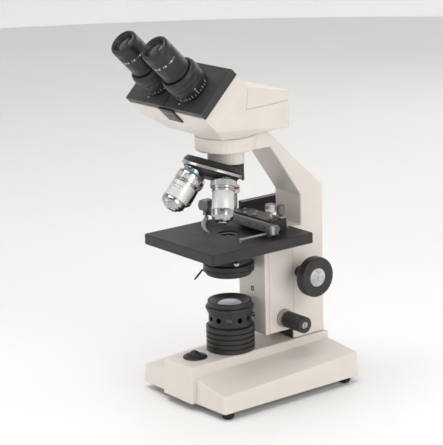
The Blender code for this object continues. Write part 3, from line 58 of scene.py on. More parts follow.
class Nodes:
    """Small helper that adds linked shader nodes to one material."""

    def __init__(self, name):
        self.material = bpy.data.materials.new(name)
        self.material.use_nodes = True
        self.tree = self.material.node_tree
        self.shader = self.tree.nodes["Principled BSDF"]

    def add(self, kind, values=None, **settings):
        node = self.tree.nodes.new(kind)
        for key, value in settings.items():
            setattr(node, key, value)
        for key, value in (values or {}).items():
            if isinstance(value, bpy.types.NodeSocket):
                self.tree.links.new(value, node.inputs[key])
            else:
                node.inputs[key].default_value = value
        return node

    def link(self, source, key):
        self.tree.links.new(source, self.shader.inputs[key])

    def noise(self, vector, scale, detail=2.0, rough=0.5):
        return self.add("ShaderNodeTexNoise", {"Vector": vector, "Scale": scale, "Detail": detail,
                                               "Roughness": rough}).outputs["Fac"]

    def spread(self, value, low, high, start=0.3, end=0.7):
        return self.add("ShaderNodeMapRange", {"Value": value, "From Min": start, "From Max": end,
                                               "To Min": low, "To Max": high}).outputs["Result"]

    def math(self, operation, a, b=0.0):
        return self.add("ShaderNodeMath", {0: a, 1: b}, operation=operation).outputs[0]

    def mix(self, factor, a, b):
        node = self.add("ShaderNodeMix", data_type="RGBA")
        for index, value in ((0, factor), (6, a), (7, b)):
            if isinstance(value, bpy.types.NodeSocket):
                self.tree.links.new(value, node.inputs[index])
            else:
                node.inputs[index].default_value = value if index == 0 else (*value, 1.0)
        return node.outputs[2]

    def edges(self, radius):
        """1 at a sharp edge, 0 on an open face."""
        soft = self.add("ShaderNodeBevel", {"Radius": radius}, samples=6).outputs[0]
        plain = self.add("ShaderNodeNewGeometry").outputs["Normal"]
        both = self.add("ShaderNodeVectorMath", {0: soft, 1: plain}, operation="DOT_PRODUCT")
        return soft, self.spread(both.outputs["Value"], 1.0, 0.0, 0.75, 0.99)


def coated(name, light, dark, roughness, grain, depth, edge=None, edge_radius=0.0006, metallic=0.0,
           specular=0.5, coat=0.0, patch=18.0):
    """Paint or moulded plastic: patchy colour, fine grain, softened and slightly rubbed edges."""
    n = Nodes(name)
    where = n.add("ShaderNodeTexCoord").outputs["Object"]
    patches = n.noise(where, patch, 4.0, 0.6)
    speck = n.noise(where, grain, 2.0, 0.6)
    colour = n.mix(n.spread(patches, 0.0, 1.0), light, dark)
    colour = n.mix(n.spread(speck, 0.0, 0.22, 0.45, 0.8), colour, dark)
    soft, rub = n.edges(edge_radius)
    if edge is not None:
        worn = n.math("MULTIPLY", rub, n.spread(n.noise(where, 220.0, 3.0), 0.15, 0.75))
        colour = n.mix(worn, colour, edge)
    n.link(colour, "Base Color")
    rough = n.math("ADD", n.spread(patches, roughness - 0.05, roughness + 0.05),
                   n.spread(speck, -0.04, 0.04))
    n.link(rough, "Roughness")
    bump = n.add("ShaderNodeBump", {"Strength": 0.55, "Distance": depth, "Height": speck, "Normal": soft})
    n.link(bump.outputs[0], "Normal")
    n.shader.inputs["Metallic"].default_value = metallic
    n.shader.inputs["Specular IOR Level"].default_value = specular
    n.shader.inputs["Coat Weight"].default_value = coat
    n.shader.inputs["Coat Roughness"].default_value = 0.3
    return n.material


def machined(name, light, dark, roughness, lines=2600.0, depth=0.00002, smudge=0.12, metallic=1.0):
    """Metal turned on a lathe: fine rings round the piece's own Z axis."""
    n = Nodes(name)
    where = n.add("ShaderNodeTexCoord").outputs["Object"]
    apart = n.add("ShaderNodeSeparateXYZ", {0: where})
    flat = n.add("ShaderNodeCombineXYZ", {"X": apart.outputs["X"], "Y": apart.outputs["Y"]})
    radius = n.add("ShaderNodeVectorMath", {0: flat.outputs[0]}, operation="LENGTH").outputs["Value"]
    along = n.math("ADD", radius, apart.outputs["Z"])
    ring = n.add("ShaderNodeTexNoise", {"W": along, "Scale": lines, "Detail": 3.0, "Roughness": 0.6},
                 noise_dimensions="1D").outputs["Fac"]
    patches = n.noise(where, 120.0, 3.0, 0.6)
    colour = n.mix(n.spread(patches, 0.0, 1.0), light, dark)
    colour = n.mix(n.spread(ring, 0.0, 0.35, 0.5, 0.8), colour, dark)
    n.link(colour, "Base Color")
    n.link(n.math("ADD", n.spread(patches, roughness, roughness + smudge), n.spread(ring, -0.02, 0.05)),
           "Roughness")
    soft, _ = n.edges(0.0003)
    bump = n.add("ShaderNodeBump", {"Strength": 0.35, "Distance": depth, "Height": ring, "Normal": soft})
    n.link(bump.outputs[0], "Normal")
    n.shader.inputs["Metallic"].default_value = metallic
    return n.material


def brushed(name, light, dark, roughness, metallic=0.85):
    """Flat metal with a fine brushed grain along X."""
    n = Nodes(name)
    where = n.add("ShaderNodeTexCoord").outputs["Object"]
    stretched = n.add("ShaderNodeMapping", {"Vector": where, "Scale": (60.0, 2200.0, 2200.0)}).outputs[0]
    hairs = n.noise(stretched, 1.0, 3.0, 0.6)
    patches = n.noise(where, 90.0, 3.0, 0.6)
    colour = n.mix(n.spread(hairs, 0.0, 1.0), light, dark)
    colour = n.mix(n.spread(patches, 0.0, 0.5), colour, dark)
    soft, rub = n.edges(0.0004)
    colour = n.mix(n.math("MULTIPLY", rub, n.spread(patches, 0.2, 0.7)), colour, (0.5, 0.49, 0.48))
    n.link(colour, "Base Color")
    n.link(n.math("ADD", n.spread(hairs, roughness - 0.06, roughness + 0.06), n.spread(patches, -0.05, 0.05)),
           "Roughness")
    bump = n.add("ShaderNodeBump", {"Strength": 0.3, "Distance": 0.00002, "Height": hairs, "Normal": soft})
    n.link(bump.outputs[0], "Normal")
    n.shader.inputs["Metallic"].default_value = metallic
    return n.material


def coated_glass(name, tint, painted_sheen, through=0.35):
    """Lens with an anti-reflection film whose reflection is painted into the colour, lighter towards the rim,
    and a trace of dust.
    """
    n = Nodes(name)
    where = n.add("ShaderNodeTexCoord").outputs["Object"]
    facing = n.add("ShaderNodeLayerWeight", {"Blend": 0.35}).outputs["Facing"]
    # painted reflection: towards the rim, where the lens is seen edge-on, the colour turns lighter and lilac
    colour = n.mix(facing, tint, painted_sheen)
    dust = n.noise(where, 900.0, 3.0)
    colour = n.mix(n.spread(dust, 0.0, 0.12, 0.55, 0.8), colour, (0.9, 0.9, 0.9))
    n.link(colour, "Base Color")
    n.link(n.spread(dust, 0.03, 0.1), "Roughness")
    n.shader.inputs["Transmission Weight"].default_value = through
    n.shader.inputs["IOR"].default_value = 1.52
    n.shader.inputs["Coat Weight"].default_value = 0.8
    n.shader.inputs["Coat Roughness"].default_value = 0.03
    n.shader.inputs["Coat Tint"].default_value = (0.93, 0.9, 1.0, 1.0)
    return n.material


PAINT = coated("cream_paint_fine", (0.79, 0.735, 0.68), (0.745, 0.685, 0.63), 0.42, 1500.0, 0.00008,
               (0.88, 0.84, 0.79), 0.0009, coat=0.25)
BLACK = coated("black_plastic_fine", (0.024, 0.023, 0.021), (0.015, 0.0145, 0.0135), 0.42, 2600.0, 0.00006,
               (0.09, 0.088, 0.085), 0.0004, patch=60.0)
DARK = coated("black_anodised_fine", (0.026, 0.025, 0.0245), (0.017, 0.0165, 0.016), 0.36, 4200.0, 0.00003,
              (0.12, 0.115, 0.11), 0.0003, metallic=0.25, patch=80.0)
PLATE = coated("slide_plate_black", (0.036, 0.035, 0.036), (0.026, 0.025, 0.026), 0.46, 3600.0, 0.00005,
               (0.11, 0.11, 0.11), 0.0004, patch=50.0)
STAGE = coated("stage_crackle", (0.022, 0.0195, 0.0205), (0.016, 0.0142, 0.015), 0.46, 2400.0, 0.00005,
               (0.09, 0.085, 0.085), 0.0008, patch=40.0)
RUBBER = coated("foot_rubber", (0.022, 0.021, 0.02), (0.012, 0.012, 0.012), 0.72, 1800.0, 0.0001,
                patch=90.0, specular=0.3)
GRIP = coated("eyepiece_black", (0.017, 0.0168, 0.016), (0.011, 0.0108, 0.0105), 0.36, 3000.0, 0.00003,
              (0.07, 0.07, 0.07), 0.0003, patch=70.0)
CHROME = machined("satin_chrome", (0.5, 0.49, 0.485), (0.4, 0.392, 0.39), 0.1, 2600.0, 0.000002, 0.05)
SATIN = machined("satin_sleeve", (0.78, 0.765, 0.755), (0.7, 0.69, 0.68), 0.42, 4000.0, 0.000006, 0.08, 0.55)
NICKEL = machined("knurled_nickel", (0.72, 0.70, 0.69), (0.6, 0.59, 0.58), 0.34, 3000.0, 0.000006, 0.08, 0.7)
DULL = machined("dull_flange", (0.5, 0.455, 0.41), (0.4, 0.365, 0.33), 0.5, 1600.0, 0.00001, 0.1, 0.5)
ALUMINIUM = machined("turned_aluminium", (0.72, 0.70, 0.69), (0.42, 0.41, 0.41), 0.30, 1500.0, 0.00003)
STEEL = machined("turned_steel", (0.6, 0.59, 0.58), (0.42, 0.41, 0.4), 0.26)
GUNMETAL = brushed("gunmetal_brushed", (0.2, 0.185, 0.192), (0.12, 0.112, 0.117), 0.38, 0.7)
SPRING = brushed("spring_steel", (0.56, 0.545, 0.535), (0.38, 0.37, 0.365), 0.34, 0.6)
# a lighter copy of the gunmetal for the bar's front face: painted light on that face
BAR_PAINTED_LIGHT = brushed("bar_painted_light", (0.24, 0.225, 0.23), (0.15, 0.14, 0.145), 0.42, 0.3)
BRASS = machined("brass", (0.62, 0.5, 0.3), (0.4, 0.3, 0.17), 0.3)
LENS = coated_glass("coated_lens", (0.022, 0.02, 0.024), (0.1, 0.09, 0.115))
LAMP_LENS = coated_glass("lamp_lens", (0.72, 0.72, 0.78), (0.86, 0.86, 0.9), 0.0)
CERAMIC = coated("lamp_ceramic", (0.7, 0.66, 0.58), (0.6, 0.56, 0.5), 0.55, 1200.0, 0.0001, patch=120.0)
WHITE = coated("mark_white", (0.82, 0.81, 0.78), (0.66, 0.65, 0.63), 0.5, 3000.0, 0.00002, patch=400.0)
BLUE = coated("ring_blue", (0.02, 0.33, 0.58), (0.015, 0.25, 0.46), 0.4, 3000.0, 0.00002, patch=200.0)
RED = coated("ring_red", (0.55, 0.02, 0.015), (0.42, 0.012, 0.01), 0.4, 3000.0, 0.00002, patch=200.0)
YELLOW = coated("ring_yellow", (0.62, 0.33, 0.02), (0.48, 0.24, 0.015), 0.4, 3000.0, 0.00002, patch=200.0)
# painted shade: near-black for screw sockets and holes, standing in for the shade inside them
SHADE = coated("recess_painted_shade", (0.008, 0.008, 0.008), (0.005, 0.005, 0.005), 0.7, 2000.0, 0.00003,
               patch=200.0, specular=0.2)

FINISH = {"cream_paint": PAINT, "black_plastic": BLACK, "black_anodised": DARK, "stage_coating": STAGE,
          "gunmetal": GUNMETAL, "chrome": CHROME, "aluminium": ALUMINIUM, "steel": STEEL, "rubber": RUBBER,
          "lens_glass": LENS, "ceramic": CERAMIC}
SLOT_OF = {material: slot for slot, material in FINISH.items()}
SLOT_OF.update({PLATE: "black_anodised", GRIP: "black_plastic", SATIN: "chrome", SPRING: "steel",
                NICKEL: "chrome", DULL: "aluminium", BAR_PAINTED_LIGHT: "gunmetal", BRASS: "steel",
                LAMP_LENS: "lens_glass", WHITE: "cream_paint", BLUE: "chrome", RED: "chrome",
                YELLOW: "chrome", SHADE: "black_plastic"})


# ---- shapes, in millimetres ----

def turned(profile, steps=96, radial=None):
    """Solid of revolution about Z. radial(angle, radius, height) may change a point's radius."""
    bm = bmesh.new()
    rings = []
    for radius, height in profile:
        if radius == 0:
            rings.append([bm.verts.new((0, 0, height))])
            continue
        ring = []
        for k in range(steps):
            a = 2 * pi * k / steps
            r = radial(k, radius, height) if radial else radius
            ring.append(bm.verts.new((r * cos(a), r * sin(a), height)))
        rings.append(ring)
    pairs = list(zip(rings, rings[1:]))
    if profile[0][0] != 0:
        pairs.append((rings[-1], rings[0]))
    for lower, upper in pairs:
        if len(lower) == 1 and len(upper) == 1:
            continue
        for k in range(steps):
            corners = [lower[k % len(lower)], lower[(k + 1) % len(lower)],
                       upper[(k + 1) % len(upper)], upper[k % len(upper)]]
            bm.faces.new(list(dict.fromkeys(corners)))
    bmesh.ops.recalc_face_normals(bm, faces=bm.faces)
    return bm


def soften(profile, width=0.35):
    """Cuts the sharp corners of an open profile, so that they catch the light."""
    result = [profile[0]]
    for before, here, after in zip(profile, profile[1:], profile[2:]):
        p, a, b = Vector(here), Vector(before), Vector(after)
        first, second = a - p, b - p
        if first.length < 0.01 or second.length < 0.01 or here[0] == 0:
            result.append(here)
            continue
        bend = first.angle(second)
        step = min(width, first.length * 0.4, second.length * 0.4)
        if bend > radians(155):
            result.append(here)
            continue
        start, end = p + first.normalized() * step, p + second.normalized() * step
        middle = (start + end) / 2 * 0.45 + p * 0.55
        result += [tuple(start), tuple(middle), tuple(end)]
    result.append(profile[-1])
    return result


def hull(points):
    bm = bmesh.new()
    verts = [bm.verts.new(p) for p in points]
    made = bmesh.ops.convex_hull(bm, input=verts)
    spare = {v for v in made["geom_interior"] + made["geom_unused"] if isinstance(v, bmesh.types.BMVert)}
    bmesh.ops.delete(bm, geom=[v for v in verts if v in spare], context="VERTS")
    bmesh.ops.dissolve_limit(bm, angle_limit=radians(0.5), verts=bm.verts, edges=bm.edges)
    bmesh.ops.recalc_face_normals(bm, faces=bm.faces)
    return bm


def box(x, y, z, edge=0.0, segments=3):
    bm = hull([(a, b, c) for a in x for b in y for c in z])
    return rounded(bm, edge, segments) if edge else bm


def rounded(bm, width, segments=3, sharper_than=25):
    edges = [e for e in bm.edges
             if len(e.link_faces) == 2 and e.calc_face_angle() > radians(sharper_than)]
    bmesh.ops.bevel(bm, geom=edges, offset=width, offset_type="OFFSET", segments=segments,
                    profile=0.5, affect="EDGES", clamp_overlap=True)
    bmesh.ops.recalc_face_normals(bm, faces=bm.faces)
    return bm


def extruded(outline, low, high):
    """(x, y) outline pushed along Z."""
    bm = bmesh.new()
    ends = [[bm.verts.new((x, y, z)) for x, y in outline] for z in (low, high)]
    bm.faces.new(ends[0])
    bm.faces.new(ends[1])
    for k in range(len(outline)):
        nxt = (k + 1) % len(outline)
        bm.faces.new((ends[0][k], ends[0][nxt], ends[1][nxt], ends[1][k]))
    bmesh.ops.recalc_face_normals(bm, faces=bm.faces)
    return bm


def rod(points, radius, sides=12):
    """Round wire along a line of points, with closed ends."""
    bm = bmesh.new()
    path = [Vector(p) for p in points]
    rings = []
    side = None
    for k, p in enumerate(path):
        ahead = path[min(k + 1, len(path) - 1)] - path[max(k - 1, 0)]
        ahead.normalize()
        if side is None:
            side = ahead.cross(Vector((0, 0, 1)) if abs(ahead.z) < 0.9 else Vector((1, 0, 0)))
        side = (side - ahead * side.dot(ahead)).normalized()
        up = ahead.cross(side)
        rings.append([bm.verts.new(p + radius * (cos(2 * pi * j / sides) * side
                                                 + sin(2 * pi * j / sides) * up)) for j in range(sides)])
    for lower, upper in zip(rings, rings[1:]):
        for j in range(sides):
            bm.faces.new((lower[j], lower[(j + 1) % sides], upper[(j + 1) % sides], upper[j]))
    bm.faces.new(rings[0])
    bm.faces.new(rings[-1])
    bmesh.ops.recalc_face_normals(bm, faces=bm.faces)
    return bm


def merged(*shapes):
    """Several closed shapes as one mesh."""
    result = bmesh.new()
    for shape in shapes:
        mesh = bpy.data.meshes.new("part")
        shape.to_mesh(mesh)
        shape.free()
        result.from_mesh(mesh)
        bpy.data.meshes.remove(mesh)
    return result


def cut(shape, *cutters):
    """The shape with the cutters taken out, by an exact Boolean."""
    things = []
    for bm in (shape, merged(*cutters)):
        mesh = bpy.data.meshes.new("part")
        bm.to_mesh(mesh)
        bm.free()
        thing = bpy.data.objects.new("part", mesh)
        bpy.context.scene.collection.objects.link(thing)
        things.append(thing)
    modifier = things[0].modifiers.new("cut", "BOOLEAN")
    modifier.operation, modifier.solver, modifier.object = "DIFFERENCE", "EXACT", things[1]
    modifier.use_self = True
    graph = bpy.context.evaluated_depsgraph_get()
    graph.update()
    result = bmesh.new()
    result.from_mesh(things[0].evaluated_get(graph).to_mesh())
    for thing in things:
        mesh = thing.data
        bpy.data.objects.remove(thing)
        bpy.data.meshes.remove(mesh)
    return result


def at(x=0, y=0, z=0):
    return Matrix.Translation((x, y, z))


def line_frame(origin, direction):
    z = Vector(direction).normalized()
    x = Vector((1, 0, 0)) if abs(z.x) < 0.9 else Vector((0, 1, 0))
    y = z.cross(x).normalized()
    x = y.cross(z)
    return Matrix.Translation(origin) @ Matrix((x, y, z)).transposed().to_4x4()


def cross_frame(y, z, side=1):
    """Frame whose Z runs along +X or -X through (y, z)."""
    return line_frame((0, y, z), (side, 0, 0))


def place(name, bm, material, body, where=Matrix.Identity(4), replaces=(), flat_above=32):
    """One visible piece, on its own frame, riding on a body."""
    bm.transform(Matrix.Scale(MM, 4))
    mesh = bpy.data.meshes.new(name)
    bm.to_mesh(mesh)
    bm.free()
    mesh.materials.append(material)
    mesh.polygons.foreach_set("use_smooth", [True] * len(mesh.polygons))
    mesh.set_sharp_from_angle(angle=radians(flat_above))
    thing = bpy.data.objects.new(name, mesh)
    bpy.context.scene.collection.objects.link(thing)
    turn = where.to_quaternion().to_matrix().to_4x4()
    thing.matrix_world = Matrix.Translation(OFFSET + where.translation * MM) @ turn
    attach(thing, body)
    if replaces:
        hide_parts(*replaces)
    return thing


# ---- carried-over solids: their shapes stay, their surfaces are finished here ----

slots = {node: mat.get("slot") for mat in frame["record"]["materials"] for node in mat.get("nodes", [])}
for name, thing in NODES.items():
    old = thing.data.materials[0].name if thing.data.materials else ""
    finish = FINISH.get(slots.get(name) or old.split(".")[0], PAINT)
    if name.startswith("slide_") and name != "slide_clip":
        finish = PLATE
    elif name == "stage_rail":
        finish = DARK
    thing.data.materials.clear()
    thing.data.materials.append(finish)
    thing.data.polygons.foreach_set("use_smooth", [True] * len(thing.data.polygons))
    thing.data.set_sharp_from_angle(angle=radians(38))


# ---- lamp ----

BASE_TOP, GAP = 37.5, 0.3
STAND = "stand"
low, top = BASE_TOP + GAP, 63.5
pitch = (top - low) / 5
outer = []
for k in range(5):
    start = low + k * pitch
    outer += [(23.7, start), (24.2, start + 0.5), (24.2, start + pitch * 0.80), (23.8, start + pitch * 0.86)]
    if k < 4:
        outer += [(22.9, start + pitch * 0.88), (22.9, start + pitch * 0.98)]
housing = [(19.6, low)] + outer + [(23.2, top - 0.1), (22.4, top), (19.6, top)]
place("lamp_ribs", turned(housing), BLACK, STAND, replaces=["lamp_housing"])

low = top + GAP
tube = turned([(19.6, low), (21.4, low), (21.4, 82.7), (19.6, 82.7)], 120)
vents = []
for k in range(12):
    angle = radians(-10) + 2 * pi * k / 12
    vent = turned([(0, 15), (2.7, 15), (2.7, 21.1), (3.1, 21.6), (3.1, 26), (0, 26)], 24)
    vent.transform(line_frame((0, 0, 71.5), (cos(angle), sin(angle), 0)))
    vents.append(vent)
place("lamp_vents", cut(tube, *vents), BLACK, STAND, replaces=["lamp_tube"])

cap = [(21.7, 76.5), (22.4, 76.7), (22.7, 77.6), (22.7, 79.2), (23.6, 79.6), (24.2, 80.6), (24.2, 82.0),
       (23.6, 83.2), (22.6, 83.8), (22.0, 84.4), (22.0, 88.0), (21.6, 88.6), (21.1, 88.7), (19.9, 88.7),
       (19.5, 88.4), (14.6, 85.7), (12.5, 85.5), (12.5, 84.9), (13.8, 84.9), (13.8, 83.0), (21.7, 83.0)]
place("lamp_rim_ring", turned(cap), BLACK, STAND, replaces=["lamp_cap"])
dome = [(0, 80.7), (9.4, 80.7), (13.5, 82.7), (13.5, 84.6), (12.2, 84.6)]
dome += [(12.2 * cos(a), 84.6 + 3.0 * sin(a)) for a in [radians(10 * k) for k in range(1, 9)]] + [(0, 87.6)]
place("lamp_lens_dome", turned(dome), LAMP_LENS, STAND, replaces=["collector_lens"], flat_above=25)
place("lamp_bulb", turned([(0, 50.1), (3.8, 50.1), (3.8, 56), (4.6, 58.6), (5.5, 61.6), (5.7, 64.8),
                           (5.0, 67.6), (3.5, 69.8), (1.6, 70.9), (0, 71.1)], 32), LAMP_LENS, STAND,
      replaces=["bulb"])


# ---- switch, feet, inlet ----

SWITCH_X, SWITCH_Y = -1.5, -43.5
SWITCH = at(SWITCH_X, SWITCH_Y)
bezel = turned([(0, 28.5), (9.6, 28.5), (9.6, 37.8), (12.0, 37.8), (12.0, 38.3), (11.6, 38.9), (10.6, 39.4),
                (9.2, 39.8), (7.9, 40.0), (0, 40.1)], 64)
place("switch_ring", cut(bezel, box((-6.9, 6.9), (-5.5, 5.5), (32.5, 46), 0.9)), BLACK, STAND, SWITCH,
      replaces=["switch_bezel"])


def loft(levels, steps=40, power=2.6):
    """Closed shape through level superellipses, each (half x, half y, z)."""
    bm = bmesh.new()
    rings = []
    for u, v, z in levels:
        if u == 0:
            rings.append([bm.verts.new((0, 0, z))])
            continue
        ring = []
        for k in range(steps):
            a = 2 * pi * k / steps
            c, s = cos(a), sin(a)
            ring.append(bm.verts.new((u * abs(c) ** (2 / power) * (1 if c >= 0 else -1),
                                      v * abs(s) ** (2 / power) * (1 if s >= 0 else -1), z)))
        rings.append(ring)
    for a, b in zip(rings, rings[1:]):
        for k in range(steps):
            corners = [a[k % len(a)], a[(k + 1) % len(a)], b[(k + 1) % len(b)], b[k % len(b)]]
            bm.faces.new(list(dict.fromkeys(corners)))
    bm.faces.new(rings[0])
    bmesh.ops.recalc_face_normals(bm, faces=bm.faces)
    return bm


hump = loft([(6.3, 4.2, -2.4), (6.5, 4.7, 1.4), (6.5, 4.7, 2.4), (6.0, 4.4, 3.4), (5.1, 3.9, 4.5),
             (4.2, 3.4, 5.5), (3.3, 2.8, 6.3), (2.3, 2.0, 6.8), (1.2, 1.1, 7.0), (0, 0, 7.05)])
tilt = Matrix.Rotation(radians(8), 4, "X")
place("switch_hump", hump, GRIP, "rocker", at(SWITCH_X, SWITCH_Y, BASE_TOP) @ tilt, replaces=["switch_rocker"])

for corner, x, y in (("front_right", 60, -51.5), ("front_left", -50, -42), ("rear_right", 57.5, 99.8),
                     ("rear_left", -57.5, 99.8)):
    foot = turned([(0, -7), (2.2, -7), (3.7, -6.9), (5.0, -6.2), (5.7, -5.2), (6.0, -4.2), (6.0, -1.6),
                   (5.6, -1.2), (5.6, -0.8), (6.0, -0.4), (6.0, 0), (0, 0)], 48)
    place(f"foot_{corner}_pad", foot, RUBBER, STAND, at(x, y), replaces=[f"foot_{corner}"])

BASE_BACK, INLET_Z = 110.7, 18.5
for k, (x, dz) in enumerate(((-6.5, -2), (0, 2), (6.5, -2))):
    pin = box((x - 1.0, x + 1.0), (BASE_BACK - 7.0, BASE_BACK - 3.75),
              (INLET_Z + dz - 2.1, INLET_Z + dz + 2.1), 0.4)
    place(f"inlet_pin_{k}", pin, STEEL, STAND)


def screw_head(radius, height, slot=True):
    """Countersunk or pan screw head with a cross or a single slot, standing on z = 0."""
    head = turned([(0, -0.4), (radius, -0.4), (radius, height * 0.45), (radius * 0.82, height * 0.85),
                   (radius * 0.4, height), (0, height)], 32)
    cutters = [box((-radius * 0.62, radius * 0.62), (-radius * 0.13, radius * 0.13),
                   (height - 0.7, height + 1))]
    if not slot:
        cutters.append(box((-radius * 0.13, radius * 0.13), (-radius * 0.62, radius * 0.62),
                           (height - 0.7, height + 1)))
    return cut(head, *cutters)


def socket_screw(radius):
    """Sunk socket screw: a dark rim with a hollow in its middle."""
    return turned([(0, -0.5), (radius, -0.5), (radius, 0.12), (radius * 0.82, 0.2), (radius * 0.55, 0.12),
                   (radius * 0.5, -0.2), (0, -0.3)], 32)


for side in (-1, 1):
    place(f"inlet_screw_{'r' if side > 0 else 'l'}", screw_head(1.5, 0.5), STEEL, STAND,
          line_frame((side * 20.5, BASE_BACK - 0.3, INLET_Z), (0, 1, 0)))
for k, (x, y) in enumerate(((-50, -30), (50, -30), (-50, 80), (50, 80))):
    place(f"bottom_screw_{k}", screw_head(2.4, 1.0, slot=False), STEEL, STAND,
          line_frame((x, y, 0.25), (0, 0, -1)))


# ---- focus drive ----

COARSE, FINE = (72.5, 107.2), (51.8, 62.8)
for side, sign in (("right", 1), ("left", -1)):
    knob = [(4.3, 21.6), (6.0, 21.6), (6.0, 24.6), (7.4, 25.0), (7.4, 33.5), (6.4, 34.2), (6.4, 40.5),
            (18.6, 40.5), (19.8, 40.9), (20.2, 41.8), (20.3, 42.6), (20.3, 48.6), (20.1, 49.6),
            (19.6, 50.4), (18.8, 50.9), (17.4, 51.0), (13.0, 51.0), (10.9, 50.9), (10.3, 50.6), (9.9, 50.2),
            (9.9, 47.6), (0, 47.6), (0, 44.8), (4.3, 44.8)]
    place(f"coarse_grip_{side}", turned(knob, 128), BLACK, "coarse_drive", cross_frame(*COARSE, sign),
          replaces=[f"coarse_knob_{side}"])
    inset = turned([(0, 47.9), (9.6, 47.9), (9.6, 50.0), (9.3, 50.4), (8.7, 50.6), (8.4, 50.45), (0, 50.45)],
                   96)
    holes = [turned([(0, 49.0), (0.9, 49.0), (1.2, 49.4), (2.3, 51.5), (0, 51.5)], 32)]
    for angle in (95, 215, 335):
        dimple = turned([(0, 49.7), (0.55, 49.7), (0.75, 51.5), (0, 51.5)], 16)
        dimple.transform(at(6.6 * cos(radians(angle)), 6.6 * sin(radians(angle))))
        holes.append(dimple)
    place(f"coarse_inset_{side}", cut(inset, *holes), ALUMINIUM, "coarse_drive", cross_frame(*COARSE, sign),
          replaces=[f"coarse_cap_{side}"])

    def ribbed(k, r, h):
        return r - (0.16 if k % 4 < 2 and 29.5 < h < 52.8 and r > 8 else 0)

    grip = [(3.3, 26.5), (7.5, 26.5), (8.1, 26.8), (8.3, 27.5), (8.3, 29.4), (8.3, 29.6), (8.3, 52.7),
            (8.3, 52.9), (8.3, 53.6), (8.0, 54.2), (7.4, 54.5), (3.9, 54.5), (3.9, 51.5), (3.3, 51.5)]
    place(f"fine_grip_{side}", turned(grip, 192, ribbed), BLACK, "fine_drive", cross_frame(*FINE, sign),
          replaces=[f"fine_knob_{side}"])
    flange = [(3.3, 21.4), (9.1, 21.4), (9.4, 21.7), (9.4, 23.6), (9.1, 23.9), (7.6, 24.0), (7.6, 26.4),
              (3.3, 26.4)]
    place(f"fine_flange_{side}", turned(flange), DULL, "fine_drive", cross_frame(*FINE, sign))

BLOCK_FRONT = 28.8
# the block screws in the near-black SHADE material: painted shade in their sockets
for k, z in enumerate((94.0, 67.0)):
    place(f"block_screw_{k}", socket_screw(2.5), SHADE, "fine_slide",
          line_frame((0.6, BLOCK_FRONT, z), (0, -1, 0)))


# ---- stage and condenser ----

FOOT = 115.5
shell = [(14.5, FOOT), (21.6, FOOT), (22.4, FOOT + 0.4), (22.9, FOOT + 1.0), (22.9, FOOT + 2.8),
         (23.6, FOOT + 3.2), (24.9, FOOT + 3.4), (25.3, FOOT + 3.9), (25.3, FOOT + 6.2), (24.7, FOOT + 6.5),
         (24.7, FOOT + 7.1), (25.3, FOOT + 7.4), (25.3, FOOT + 11.2), (24.9, FOOT + 11.8),
         (22.6, FOOT + 12.8), (22.3, FOOT + 13.4), (22.3, 145.2), (13.7, 145.2), (13.7, 153.7), (8.7, 153.7),
         (8.7, 147.3), (7.5, 147.3), (7.5, FOOT + 13), (14.5, FOOT + 9)]
IRIS = radians(-135)
lever_slot = hull([(r * cos(a), r * sin(a), z) for r in (12, 31)
                   for a in [IRIS + radians(d) for d in (-38, -19, 0, 19, 38)] for z in (117.1, 119.3)])
place("condenser_shell", cut(turned(shell, 128), lever_slot), DARK, "fine_slide", replaces=["condenser"])
ball = [(0, 17.3), (1.5, 17.3), (1.5, 25.6)]
ball += [(2.9 * cos(a), 28.2 + 2.9 * sin(a)) for a in [radians(-60 + 10 * k) for k in range(15)]]
screw_angle = radians(-22)
place("condenser_ball", turned(ball + [(0, 31.1)], 40), CHROME, "fine_slide",
      line_frame((0, 0, 132.1), (cos(screw_angle), sin(screw_angle), 0)), replaces=["condenser_screw"])
top_lens = [(0, 147.6), (8.4, 147.6), (8.4, 150.4)]
top_lens += [(8.4 * cos(a), 150.4 + 3.0 * sin(a)) for a in [radians(10 * k) for k in range(1, 9)]]
# painted light: the clear top lens takes the pale, non-transmitting lamp-lens colour, so that it shows grey
# inside the stage opening
place("condenser_top_lens", turned(top_lens + [(0, 153.4)], 64), LAMP_LENS, "fine_slide",
      replaces=["condenser_lens"])
place("condenser_rim", turned([(8.75, 153.75), (11.0, 153.75), (11.0, 154.1), (10.6, 154.25), (9.2, 154.25),
                               (8.75, 154.1)]), NICKEL, "fine_slide")


# ---- slide mover ----

SLIDE_Z = 156.6          # underside of what slides over the stage
CARRIAGE_TOP = 169.5
ticks = [box((-36.6, -36.6 + (2.2 if k % 5 == 0 else 1.3)), (48 + k - 0.09, 48 + k + 0.09),
             (174.96, 175.04)) for k in range(0, 46)]
place("rail_scale", merged(*ticks), WHITE, "fine_slide")
# painted highlight: a thin light steel strip along the rail's top edge, where that edge catches the light
place("rail_painted_highlight", box((-33.2, -31.75), (43.1, 99.9), (174.2, 175.0), 0.25), SPRING, "fine_slide")
for k, y in enumerate((49, 57)):
    place(f"rail_screw_{k}", screw_head(2.0, 0.9), STEEL, "fine_slide", at(-42, y, 159.6))

MOVER = "mechanical_carriage"
for k, (x, y) in enumerate(((-9.5, 30.0), (2.5, 32.0))):
    place(f"carriage_lug_{k}", box((x - 2.2, x + 2.2), (y - 1.1, y + 1.1), (169.4, 171.0), 0.4),
          SPRING, MOVER)
for k, (x, y) in enumerate(((-24, 41), (14, 40.5), (-6, 41))):
    place(f"carriage_screw_{k}", screw_head(1.5, 0.7), STEEL, MOVER, at(x, y, CARRIAGE_TOP))
for name, (x, y) in (("x", (25.0, 34.2)), ("y", (29.5, 43.5))):
    collar = [(1.95, 169.5), (3.0, 169.5), (3.2, 169.8), (3.2, 170.8), (2.7, 171.3), (1.95, 171.3)]
    place(f"{name}_knob_bush", turned(collar, 40), BRASS if name == "x" else STEEL, MOVER, at(x, y))


def knurled(band_low, band_high, depth=0.22, every=2):
    return lambda k, r, h: r - (depth if k % every == 0 and band_low < h < band_high and r > 2.4 else 0)


